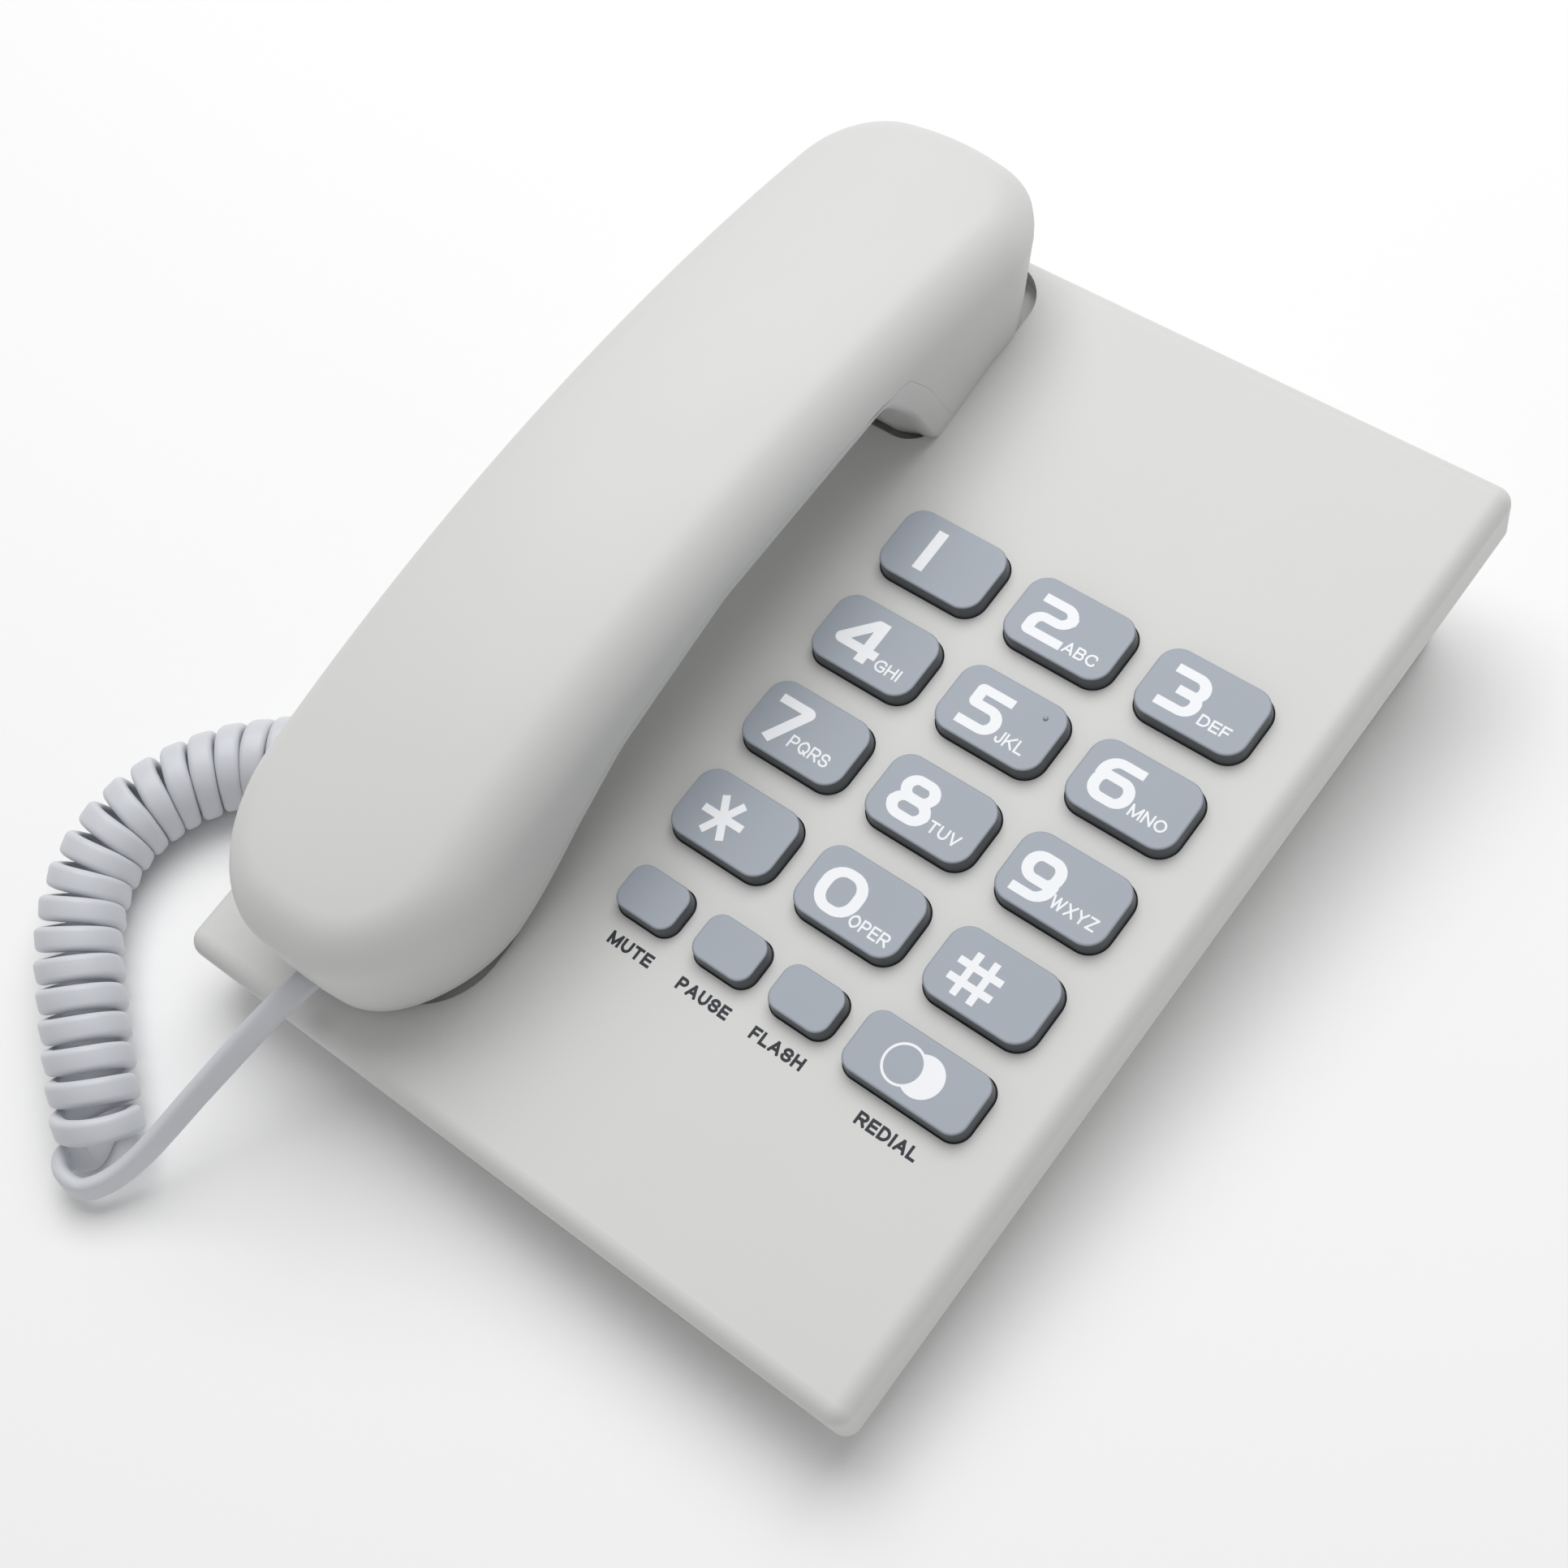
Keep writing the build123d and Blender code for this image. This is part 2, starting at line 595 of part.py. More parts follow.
def hook_spring():
    """Open coil spring round the plunger's stem."""
    turns, radius, wire = SPRING
    height = HOOK_FLANGE_BOTTOM - HOOK_SWITCH_TOP - 0.8
    path = Helix(pitch=height / turns, height=height, radius=radius).edge()
    section = Plane(origin=path @ 0, z_dir=path % 0) * Circle(wire)
    coil = sweep(section, path=path, is_frenet=True)
    return Pos(HANDSET_X, HOOK_Y, HOOK_SWITCH_TOP + 0.4) * coil


def hanging_tab():
    """Loose tab that holds the handset when the phone hangs on a wall; it is stowed upside down."""
    tab = hanging_tab_slot(0, -7.8, -0.2)
    return fillet(tab.edges().filter_by(Axis.Y), 0.9)


# ---------------------------------------------------------------- handset


def handset_plan(inset):
    """Plan outline: straight sides, bowed ends, round corners."""
    half = HANDSET_HALF - inset
    back = HANDSET_BACK - inset
    front = HANDSET_FRONT + inset
    bow_back = END_BOW_BACK - (END_BOW_BACK**2 - half**2) ** 0.5
    bow_front = END_BOW_FRONT - (END_BOW_FRONT**2 - half**2) ** 0.5
    back_right = (half, back - bow_back)
    back_left = (-half, back - bow_back)
    front_right = (half, front + bow_front)
    front_left = (-half, front + bow_front)
    with BuildSketch() as plan:
        with BuildLine():
            Line(front_right, back_right)
            ThreePointArc(back_right, (0, back), back_left)
            Line(back_left, front_left)
            ThreePointArc(front_left, (0, front), front_right)
        make_face()
        fillet(plan.vertices().group_by(Axis.Y)[-1], END_CORNER_BACK - inset)
        fillet(plan.vertices().group_by(Axis.Y)[0], END_CORNER_FRONT - inset)
    return plan.sketch


def handset_walls(inset):
    """Side walls over the plan outline. They lean in towards the underside."""
    plan = Pos(HANDSET_X, 0, WIDEST) * handset_plan(inset)
    lower = extrude(plan, amount=WIDEST + 10, dir=(0, 0, -1), taper=SIDE_DRAFT)
    upper = extrude(plan, amount=30, dir=(0, 0, 1))
    return lower + upper


def handset_crown(inset):
    """Ring with the arched and crowned back of the handset as its outer face."""
    top = ARCH_TOP - inset
    crown = CROWN_RADIUS - inset
    half = HANDSET_HALF + 10
    drop = crown - (crown**2 - half**2) ** 0.5
    with BuildSketch(Plane.XZ) as section:
        with BuildLine():
            ThreePointArc((-half, top - drop), (0, top), (half, top - drop))
            Polyline((half, top - drop), (half, top - 62), (-half, top - 62), (-half, top - drop))
        make_face()
    axis = Axis((0, 0, ARCH_TOP - ARCH_RADIUS), (1, 0, 0))
    ring = revolve(section.sketch, axis=axis, revolution_arc=360)
    return Pos(HANDSET_X, ARCH_Y, 0) * ring


def underside(inset):
    """Start and end points of the stretches of the handset's underside, in y and z."""
    return {
        "mouth": (-68 + inset, MOUTH_FACE + inset),
        "slope_low": (-55 + inset * 0.7, 3.4 + inset),
        "slope_high": (-36, 14.6 + inset),
        "grip": (0, GRIP_UNDER + inset),
        "notch": (47.5 + inset, GRIP_UNDER + inset),
        "ear": (54.5 + inset, EAR_FACE + inset),
    }


def underside_edges(inset):
    """Draws the underside from the mouth end's flat face to the ear end's flat face."""
    points = underside(inset)
    Spline(
        points["mouth"],
        points["slope_low"],
        points["slope_high"],
        points["grip"],
        tangents=((1, 0), (1, 0)),
    )
    Polyline(points["grip"], points["notch"], points["ear"])


def soften_underside(side, inset):
    """Rounds the two corners where the grip meets the ear end."""
    for name, radius in (("notch", 6.0 - inset), ("ear", 5.0 - inset)):
        y, z = underside(inset)[name]
        fillet(side.vertices().sort_by_distance((0, y, z))[0], radius)


def handset_side(inset):
    """Side outline in the y-z plane, extruded across the handset."""
    points = underside(inset)
    front = HANDSET_FRONT - 0.5 + inset
    back = HANDSET_BACK + 0.5 - inset
    mouth_start = (front + MOUTH_TUCK, MOUTH_FACE + inset)
    ear_end = (back - EAR_TUCK, EAR_FACE + inset)
    with BuildSketch(Plane.YZ) as side:
        with BuildLine():
            Line(mouth_start, points["mouth"])
            underside_edges(inset)
            Line(points["ear"], ear_end)
            TangentArc((back, 22), ear_end, tangent=(0, -1))
            Polyline((back, 22), (back, 60), (front, 60), (front, 14))
            TangentArc((front, 14), mouth_start, tangent=(0, -1))
        make_face()
        soften_underside(side, inset)
    return Pos(HANDSET_X, 0, 0) * extrude(side.sketch, amount=40, both=True)


def above_seam(gap):
    """Everything above the seam between the handset's two shells."""
    rise = SEAM + gap
    points = underside(rise)
    front = (-120, MOUTH_FACE + rise)
    back = (120, EAR_FACE + rise)
    with BuildSketch(Plane.YZ) as side:
        with BuildLine():
            Line(front, points["mouth"])
            underside_edges(rise)
            Polyline(points["ear"], back, (120, 60), (-120, 60), front)
        make_face()
        soften_underside(side, rise)
    return Pos(HANDSET_X, 0, 0) * extrude(side.sketch, amount=40, both=True)


def lower_rim(form):
    """Edges round the outside of the handset's underside."""
    seen = {}
    for face in form.faces():
        middle = face.center()
        normal = face.normal_at(middle)
        notch_front = normal.Y < -0.5 and 46 < middle.Y < 56
        if normal.Z < -0.5 or notch_front:
            for edge in face.edges():
                spot = edge.center()
                place = (round(spot.X, 2), round(spot.Y, 2), round(spot.Z, 2))
                seen.setdefault(place, []).append(edge)
    return [edges[0] for edges in seen.values() if len(edges) == 1]


def handset_form(inset, crown_round, lower_round):
    """Whole handset shape, set in by a wall thickness for the cavity."""
    form = handset_walls(inset) & handset_crown(inset) & handset_side(inset)
    crown = form.faces().filter_by(GeomType.TORUS)[0]
    form = fillet(crown.edges(), crown_round)
    if lower_round > 0:
        form = fillet(lower_rim(form), lower_round)
    return form


def seated(form, inset):
    """Trims a handset form near the plate to the two seats that fit the cups."""
    level = SEAT_LEVEL + inset
    room = block(HANDSET_X - 40, HANDSET_X + 40, -110, 110, EAR_FACE - 5, level)
    for cup in (EAR_CUP, MOUTH_CUP):
        room -= cup_outline(cup, -CUP_GAP - inset, EAR_FACE - 6, level + 1)
    return form - room


def handset_shells():
    """Outer and inner shell, with screw bosses, grilles and the jack's opening."""
    solid = seated(handset_form(0, CROWN_EDGE, LOWER_EDGE), 0)
    cavity = seated(handset_form(HANDSET_WALL, CROWN_EDGE - 3.0, 0), HANDSET_WALL)
    wall = solid - cavity
    outer = wall & above_seam(0.1)
    inner = wall - above_seam(0)
    x = HANDSET_X
    for y, seat, boss in HANDSET_SCREWS:
        inner += post(x, y, 4.2, seat - 12, boss - 0.1) & solid
        inner -= post(x, y, 2.8, seat - 14, seat)
        inner -= post(x, y, 1.3, seat - 1, boss)
        outer += post(x, y, 3.0, boss, boss + 20) & solid
        outer -= post(x, y, 1.13, boss - 1, boss + 8)
    for dx, dy in receiver_grille():
        inner -= post(x + dx, RECEIVER_Y + dy, 1.2, EAR_FACE - 1, EAR_FACE + 4)
    for dx in (-4, 0, 4):
        inner -= post(x + dx, MICROPHONE_Y, 0.9, MOUTH_FACE - 1, MOUTH_FACE + 4)
    outer -= block(x - 4.2, x + 4.2, -100, JACK_FRONT, JACK_LEVEL - 3.6, JACK_LEVEL + 3.6)
    return outer, inner


def receiver_grille():
    """Places of the sound holes over the receiver: one in the middle and a ring of six."""
    ring = [(6 * cos(radians(60 * i)), 6 * sin(radians(60 * i))) for i in range(6)]
    return [(0, 0)] + ring


def handset_screws():
    """Two small screws, driven through the inner shell."""
    screws = []
    for y, seat, boss in HANDSET_SCREWS:
        head = fillet(post(HANDSET_X, y, 2.5, seat - 1.7, seat).edges().group_by(Axis.Z)[0], 0.6)
        screw = head + post(HANDSET_X, y, 1.1, seat, boss + 7)
        for long_x, long_y in ((1.3, 0.3), (0.3, 1.3)):
            screw -= block(
                HANDSET_X - long_x, HANDSET_X + long_x, y - long_y, y + long_y, seat - 2, seat - 0.9
            )
        screws.append(screw)
    return Compound(screws)


def receiver():
    """Receiver capsule: a stepped round can."""
    floor = EAR_FACE + HANDSET_WALL + 0.8
    can = post(HANDSET_X, RECEIVER_Y, RECEIVER_RADIUS, floor, floor + 4)
    can += post(HANDSET_X, RECEIVER_Y, RECEIVER_RADIUS - 4, floor + 4, floor + 8.5)
    return can - post(HANDSET_X, RECEIVER_Y, 8, floor - 1, floor + 1.2)


def receiver_gasket():
    """Foam ring between the receiver and the ear face."""
    floor = EAR_FACE + HANDSET_WALL
    outer = RECEIVER_RADIUS - 0.5
    return tube(HANDSET_X, RECEIVER_Y, outer, outer - 3.5, floor, floor + 0.8)


def microphone():
    """Electret capsule."""
    floor = MOUTH_FACE + HANDSET_WALL
    return post(HANDSET_X, MICROPHONE_Y, MICROPHONE_RADIUS, floor + 0.6, floor + 6.6)


def microphone_boot():
    """Rubber cup round the electret capsule."""
    floor = MOUTH_FACE + HANDSET_WALL
    boot = post(HANDSET_X, MICROPHONE_Y, MICROPHONE_RADIUS + 0.8, floor, floor + 7)
    boot -= post(HANDSET_X, MICROPHONE_Y, MICROPHONE_RADIUS, floor + 0.6, floor + 8)
    return boot - post(HANDSET_X, MICROPHONE_Y, 1.2, floor - 1, floor + 1)


def handset_jack():
    """Four-position socket behind the front end of the handset."""
    x = HANDSET_X
    jack = block(x - 5.2, x + 5.2, JACK_FRONT + 0.05, JACK_BACK, JACK_LEVEL - 4.5, JACK_LEVEL + 4.5)
    return jack - block(x - 4, x + 4, JACK_FRONT - 1, JACK_BACK - 1, JACK_LEVEL - 3.4, JACK_LEVEL + 3.4)


def handset_weight():
    """Steel bar that gives the handset its weight, so that it holds the hook plunger down."""
    bar = block(HANDSET_X - 8, HANDSET_X + 8, -14, 31, GRIP_UNDER + HANDSET_WALL + 0.1, 31)
    return fillet(bar.edges().filter_by(Axis.Z), 2)


# ---------------------------------------------------------------- cord


def base_plug():
    """Plug in the base's cord jack, with the stub of its lead."""
    x = LEFT_WALL
    y = CORD_JACK_Y
    z = CORD_JACK_Z
    plug = block(x - 3, x + 9, y - 3.8, y + 3.8, z - 3.1, z + 2.4)
    plug += block(x - 2.4, x + 6, y - 1.6, y + 1.6, z + 2.4, z + 3.1)
    return plug + Pos(x - 4, y, z - 0.4) * Rot(0, 90, 0) * Cylinder(LEAD, 3)


def handset_plug():
    """Plug in the handset's jack, with the stub of its lead."""
    x = HANDSET_X
    z = JACK_LEVEL
    plug = block(x - 3.8, x + 3.8, PLUG_OUT, PLUG_IN, z - 2.9, z + 2.6)
    plug += block(x - 1.6, x + 1.6, PLUG_OUT + 1.3, PLUG_IN - 2, z + 2.6, z + 3.1)
    return plug + Pos(x, PLUG_OUT - 0.8, z) * Rot(90, 0, 0) * Cylinder(LEAD, 2)


def swept(points, bend, section):
    """A section swept along straight runs joined by round bends."""
    path = FilletPolyline(*points, radius=bend)
    return sweep(Plane(origin=path @ 0, z_dir=path % 0) * section, path=path)


def cord():
    """The cord lying on the desk: the coil as a sleeve, with a plain lead at each end."""
    level = DESK + COIL_RADIUS
    runs = [(x, y, level) for x, y in COIL_RUNS]
    sleeve = swept(runs, COIL_BEND, Circle(COIL_RADIUS) - Circle(COIL_BORE))
    into_handset = [to_world(HANDSET_X, y, JACK_LEVEL) for y in (-97.0, PLUG_OUT - 1.9)]
    tail = swept([TAIL_START, *TAIL_CORNERS, *into_handset], TAIL_BEND, Circle(LEAD))
    plug_end = to_world(LEFT_WALL - 5.6, CORD_JACK_Y, CORD_JACK_Z - 0.4)
    root = swept([plug_end, *ROOT_CORNERS, ROOT_END], TAIL_BEND, Circle(LEAD))
    return sleeve + tail + root


# ---------------------------------------------------------------- the whole phone


def plate_frame_parts():
    """Every part drawn in the plate frame."""
    outer_shell, inner_shell = handset_shells()
    parts = {
        "base_top_cover": top_cover(),
        "keypad_sheet": keypad_sheet(),
        "main_board": board(),
        "board_screws": board_screws(),
        "dialler_chip": dialler_chip(),
        "capacitors": capacitors(),
        "resistors": resistors(),
        "base_screws": base_screws(),
        "line_jack": line_jack(),
        "line_jack_contacts": line_jack_contacts(),
        "cord_jack": cord_jack(),
        "dial_mode_switch": slide_switch(DIAL_MODE),
        "dial_mode_knob": switch_knob(DIAL_MODE),
        "ringer_switch": slide_switch(RINGER_LEVEL),
        "ringer_knob": switch_knob(RINGER_LEVEL),
        "hook_plunger": hook_plunger(),
        "hook_spring": hook_spring(),
        "hook_switch": hook_switch(),
        "hanging_tab": hanging_tab(),
        "handset_outer_shell": outer_shell,
        "handset_inner_shell": inner_shell,
        "handset_screws": handset_screws(),
        "receiver_capsule": receiver(),
        "receiver_gasket": receiver_gasket(),
        "microphone": microphone(),
        "microphone_boot": microphone_boot(),
        "handset_jack": handset_jack(),
        "handset_weight": handset_weight(),
        "cord_plug_base": base_plug(),
        "cord_plug_handset": handset_plug(),
    }
    for name, (x, y, size) in key_places().items():
        parts[name] = key_cap(x, y, size)
    middle_x, middle_y, _ = key_places()["key_5"]
    parts["key_5"] += touch_mark(middle_x, middle_y)
    return parts


def world_frame_parts():
    """Every part drawn in the world frame."""
    return {
        "base_bottom_cover": bottom_cover(),
        "rubber_feet": rubber_feet(),
        "sounder": sounder(),
        "ballast_plate": ballast(),
        "coil_cord": cord(),
    }


model = {name: PLATE * part for name, part in plate_frame_parts().items()}
model.update(world_frame_parts())
for name, part in model.items():
    export_step(part, f"parts/{name}.step")
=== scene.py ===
"""Looks of a corded desk telephone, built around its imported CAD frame."""

import json
import math

import bmesh
import bpy
import numpy as np
from mathutils import Matrix, Vector


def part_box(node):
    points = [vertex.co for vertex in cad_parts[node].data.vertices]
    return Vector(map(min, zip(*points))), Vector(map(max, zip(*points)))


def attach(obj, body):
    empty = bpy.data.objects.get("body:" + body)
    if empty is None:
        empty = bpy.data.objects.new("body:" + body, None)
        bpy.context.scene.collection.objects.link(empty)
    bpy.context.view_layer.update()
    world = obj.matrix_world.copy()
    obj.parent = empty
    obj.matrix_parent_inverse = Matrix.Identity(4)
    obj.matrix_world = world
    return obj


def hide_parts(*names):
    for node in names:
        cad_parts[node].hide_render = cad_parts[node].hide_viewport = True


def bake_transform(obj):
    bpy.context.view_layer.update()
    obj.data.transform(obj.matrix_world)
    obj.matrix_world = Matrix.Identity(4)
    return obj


MM = 0.001
KEYPAD_MIDDLE = (24.4, 3.5)  # middle of the dial keys in the plate frame, mm
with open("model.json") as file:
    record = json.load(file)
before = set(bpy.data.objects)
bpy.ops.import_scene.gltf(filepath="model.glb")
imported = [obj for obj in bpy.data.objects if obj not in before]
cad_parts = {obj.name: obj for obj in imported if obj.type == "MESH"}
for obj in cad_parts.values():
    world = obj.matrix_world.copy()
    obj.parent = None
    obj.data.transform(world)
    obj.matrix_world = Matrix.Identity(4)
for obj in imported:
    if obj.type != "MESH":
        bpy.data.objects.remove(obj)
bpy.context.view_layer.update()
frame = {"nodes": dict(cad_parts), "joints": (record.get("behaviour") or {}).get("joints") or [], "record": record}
nodes = frame["nodes"]

# ------------------------------------------------------------------ the plate's own frame


def joint(name):
    return next(j for j in frame["joints"] if j["name"] == name)


NORMAL = Vector(joint("handset_lift")["axis"]).normalized()
UP_SLOPE = NORMAL.cross(Vector((1, 0, 0))).normalized()


def node_points(name):
    return np.array([v.co for v in nodes[name].data.vertices])


def plate_frame():
    """Matrix from plate coordinates to the world. The middle of the keypad fixes the origin."""
    dial = np.vstack([node_points("key_5"), node_points("key_8")])
    along = dial @ np.array(UP_SLOPE)
    cover = node_points("base_top_cover")
    middle = Vector((float(dial[:, 0].min() + dial[:, 0].max()) / 2 - KEYPAD_MIDDLE[0] * MM, 0, 0))
    middle += UP_SLOPE * (float(along.min() + along.max()) / 2 - KEYPAD_MIDDLE[1] * MM)
    middle += NORMAL * float((cover @ np.array(NORMAL)).max())
    axes = Matrix((Vector((1, 0, 0)), UP_SLOPE, NORMAL)).transposed()
    return Matrix.Translation(middle) @ axes.to_4x4()


PLATE = plate_frame()
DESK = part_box("rubber_feet")[0].z
TO_PLATE = PLATE.inverted()


def plate_box(name):
    """Lowest and highest corner of a CAD node in the plate's frame."""
    matrix = np.array(TO_PLATE)
    points = node_points(name) @ matrix[:3, :3].T + matrix[:3, 3]
    return Vector(points.min(0)), Vector(points.max(0))


# ------------------------------------------------------------------ materials


def node_tree(name):
    material = bpy.data.materials.new(name)
    material.use_nodes = True
    tree = material.node_tree
    return material, tree, tree.nodes["Principled BSDF"]


def link(tree, source, socket, target, slot):
    tree.links.new(source.outputs[socket], target.inputs[slot])


def noise(tree, coordinates, scale, detail=3.0, roughness=0.5):
    node = tree.nodes.new("ShaderNodeTexNoise")
    node.inputs["Scale"].default_value = scale
    node.inputs["Detail"].default_value = detail
    node.inputs["Roughness"].default_value = roughness
    link(tree, coordinates, "Object", node, "Vector")
    return node


def ramp_between(tree, source, low, high, socket="Fac"):
    """Maps a 0 to 1 value to the range low to high."""
    node = tree.nodes.new("ShaderNodeMapRange")
    node.inputs["To Min"].default_value = low
    node.inputs["To Max"].default_value = high
    tree.links.new(source.outputs[socket], node.inputs["Value"])
    return node


def tinted(tree, source, colour, spread):
    """The colour, lighter and darker by a spread, driven by a noise."""
    mix = tree.nodes.new("ShaderNodeMix")
    mix.data_type = "RGBA"
    mix.inputs["A"].default_value = [c * (1 - spread) for c in colour] + [1]
    mix.inputs["B"].default_value = [min(1, c * (1 + spread)) for c in colour] + [1]
    tree.links.new(source.outputs["Fac"], mix.inputs["Factor"])
    return mix


def moulded(name, colour, rough=0.45, grain=0.35, grain_size=0.25, spread=0.015, coat=0.0, subsurface=0.0):
    """Moulded plastic or rubber: fine spark-eroded grain, faint flow marks and uneven gloss."""
    material, tree, shader = node_tree(name)
    place = tree.nodes.new("ShaderNodeTexCoord")
    clouds = noise(tree, place, 22.0, 4.0)
    tint = tinted(tree, clouds, colour, spread)
    tree.links.new(tint.outputs["Result"], shader.inputs["Base Color"])
    smears = noise(tree, place, 70.0, 5.0, 0.6)
    gloss = ramp_between(tree, smears, rough - 0.05, rough + 0.05)
    tree.links.new(gloss.outputs["Result"], shader.inputs["Roughness"])
    fine = noise(tree, place, 1.0 / (grain_size * MM), 2.0, 0.6)
    bump = tree.nodes.new("ShaderNodeBump")
    bump.inputs["Strength"].default_value = grain
    bump.inputs["Distance"].default_value = 0.012 * MM
    tree.links.new(fine.outputs["Fac"], bump.inputs["Height"])
    tree.links.new(bump.outputs["Normal"], shader.inputs["Normal"])
    shader.inputs["Specular IOR Level"].default_value = 0.4
    shader.inputs["Coat Weight"].default_value = coat
    shader.inputs["Subsurface Weight"].default_value = subsurface
    shader.inputs["Subsurface Radius"].default_value = (1.2 * MM, 1.0 * MM, 0.8 * MM)
    return material


def metal(name, colour, rough, streak=(900.0, 60.0, 900.0)):
    """Metal with fine drawn or brushed streaks."""
    material, tree, shader = node_tree(name)
    place = tree.nodes.new("ShaderNodeTexCoord")
    stretch = tree.nodes.new("ShaderNodeMapping")
    stretch.inputs["Scale"].default_value = streak
    link(tree, place, "Object", stretch, "Vector")
    lines = tree.nodes.new("ShaderNodeTexNoise")
    lines.inputs["Scale"].default_value = 1.0
    lines.inputs["Detail"].default_value = 3.0
    link(tree, stretch, "Vector", lines, "Vector")
    tint = tinted(tree, lines, colour, 0.08)
    tree.links.new(tint.outputs["Result"], shader.inputs["Base Color"])
    gloss = ramp_between(tree, lines, rough - 0.08, rough + 0.1)
    tree.links.new(gloss.outputs["Result"], shader.inputs["Roughness"])
    bump = tree.nodes.new("ShaderNodeBump")
    bump.inputs["Strength"].default_value = 0.2
    bump.inputs["Distance"].default_value = 0.01 * MM
    tree.links.new(lines.outputs["Fac"], bump.inputs["Height"])
    tree.links.new(bump.outputs["Normal"], shader.inputs["Normal"])
    shader.inputs["Metallic"].default_value = 1.0
    return material


def paint_wall_shade(material, wall_shade_colour):
    """Keeps a material's colour on faces along the plate and paints shade onto the walls between them: a darker
    colour standing in for the shade in the gaps.
    """
    tree = material.node_tree
    shader = tree.nodes["Principled BSDF"]
    face_colour = shader.inputs["Base Color"].links[0].from_socket
    geometry = tree.nodes.new("ShaderNodeNewGeometry")
    level = tree.nodes.new("ShaderNodeVectorMath")
    level.operation = "DOT_PRODUCT"
    level.inputs[1].default_value = NORMAL
    link(tree, geometry, "Normal", level, 0)
    share = tree.nodes.new("ShaderNodeMapRange")
    share.inputs["From Min"].default_value = 0.25
    share.inputs["From Max"].default_value = 0.8
    link(tree, level, "Value", share, "Value")
    mix = tree.nodes.new("ShaderNodeMix")
    mix.data_type = "RGBA"
    mix.inputs["A"].default_value = (*wall_shade_colour, 1)
    tree.links.new(share.outputs["Result"], mix.inputs["Factor"])
    tree.links.new(face_colour, mix.inputs["B"])
    tree.links.new(mix.outputs["Result"], shader.inputs["Base Color"])
    return material


BODY_COLOUR = (0.70, 0.70, 0.69)
KEY_COLOUR = (0.365, 0.40, 0.455)
# painted shade: this darker colour on the key caps' side walls stands in for the shade in the gaps between the
# keys
KEY_WALL_SHADE = (0.085, 0.095, 0.105)
CORD_COLOUR = (0.66, 0.675, 0.715)

MATERIALS = {
    "light_plastic": moulded("light_plastic", BODY_COLOUR, 0.5, 0.3, 0.3, 0.012, 0.03),
    # the key caps' side walls get painted shade
    "key_plastic": paint_wall_shade(moulded("key_plastic", KEY_COLOUR, 0.42, 0.3, 0.22, 0.02, 0.03), KEY_WALL_SHADE),
    "cord_vinyl": moulded("cord_vinyl", CORD_COLOUR, 0.42, 0.25, 0.35, 0.02, 0.05, 0.1),
    "dark_plastic": moulded("dark_plastic", (0.03, 0.03, 0.032), 0.45),
    "socket_plastic": moulded("socket_plastic", (0.055, 0.055, 0.06), 0.4),
    "capsule_plastic": moulded("capsule_plastic", (0.05, 0.05, 0.05), 0.5),
    "clear_plug": moulded("clear_plug", (0.72, 0.74, 0.76), 0.12, 0.05, 0.4, 0.01, 0.6, 0.2),
    "foot_rubber": moulded("foot_rubber", (0.045, 0.045, 0.045), 0.8, 0.8, 0.5, 0.06),
    "silicone": moulded("silicone", (0.50, 0.52, 0.53), 0.55, 0.3, 0.4, 0.03, 0.0, 0.4),
    "foam": moulded("foam", (0.05, 0.05, 0.05), 0.95, 1.0, 0.6, 0.2),
    "board_laminate": moulded("board_laminate", (0.33, 0.20, 0.07), 0.35, 0.3, 0.6, 0.05, 0.3),
    "chip_black": moulded("chip_black", (0.02, 0.02, 0.02), 0.55, 0.5, 0.2),
    "capacitor_can": moulded("capacitor_can", (0.04, 0.05, 0.12), 0.3, 0.2, 0.4, 0.03, 0.4),
    "resistor_body": moulded("resistor_body", (0.55, 0.40, 0.22), 0.4, 0.4, 0.4, 0.08, 0.2),
    "zinc_steel": metal("zinc_steel", (0.62, 0.62, 0.60), 0.32),
    "spring_steel": metal("spring_steel", (0.55, 0.55, 0.55), 0.3),
    "weight_steel": metal("weight_steel", (0.35, 0.36, 0.37), 0.45),
    "contact_gold": metal("contact_gold", (0.83, 0.62, 0.25), 0.2),
}
KEY_PRINT = moulded("key_print", (0.93, 0.95, 0.98), 0.5, 0.3, 0.2, 0.01)
PLATE_PRINT = moulded("plate_print", (0.02, 0.024, 0.034), 0.55, 0.3, 0.2, 0.05)


def dress_frame():
    """Gives each CAD node the material of its slot in the record."""
    slots = {row["node"]: row["material_slot"] for row in frame["record"]["subparts"]}
    for name, obj in nodes.items():
        obj.data.materials.clear()
        obj.data.materials.append(MATERIALS[slots[name]])


dress_frame()

# ------------------------------------------------------------------ mesh helpers


def mend(mesh, weld=0.0, sliver=0.0):
    """Welds close vertices, drops slivers, both given in metres, and turns all faces outwards."""
    work = bmesh.new()
    work.from_mesh(mesh)
    if weld:
        bmesh.ops.remove_doubles(work, verts=work.verts, dist=weld)
    if sliver:
        bmesh.ops.dissolve_degenerate(work, edges=work.edges, dist=sliver)
    bmesh.ops.recalc_face_normals(work, faces=work.faces)
    work.to_mesh(mesh)
    work.free()


def new_piece(name, vertices, faces, material):
    """A smooth shaded mesh piece of the phone, in world metres."""
    mesh = bpy.data.meshes.new(name)
    mesh.from_pydata([tuple(v) for v in vertices], [], faces)
    mesh.validate()
    mend(mesh)
    mesh.shade_smooth()
    obj = bpy.data.objects.new(name, mesh)
    bpy.context.scene.collection.objects.link(obj)
    mesh.materials.append(MATERIALS.get(material) or material)
    return obj


def unit(rows):
    return rows / np.linalg.norm(rows, axis=-1, keepdims=True)


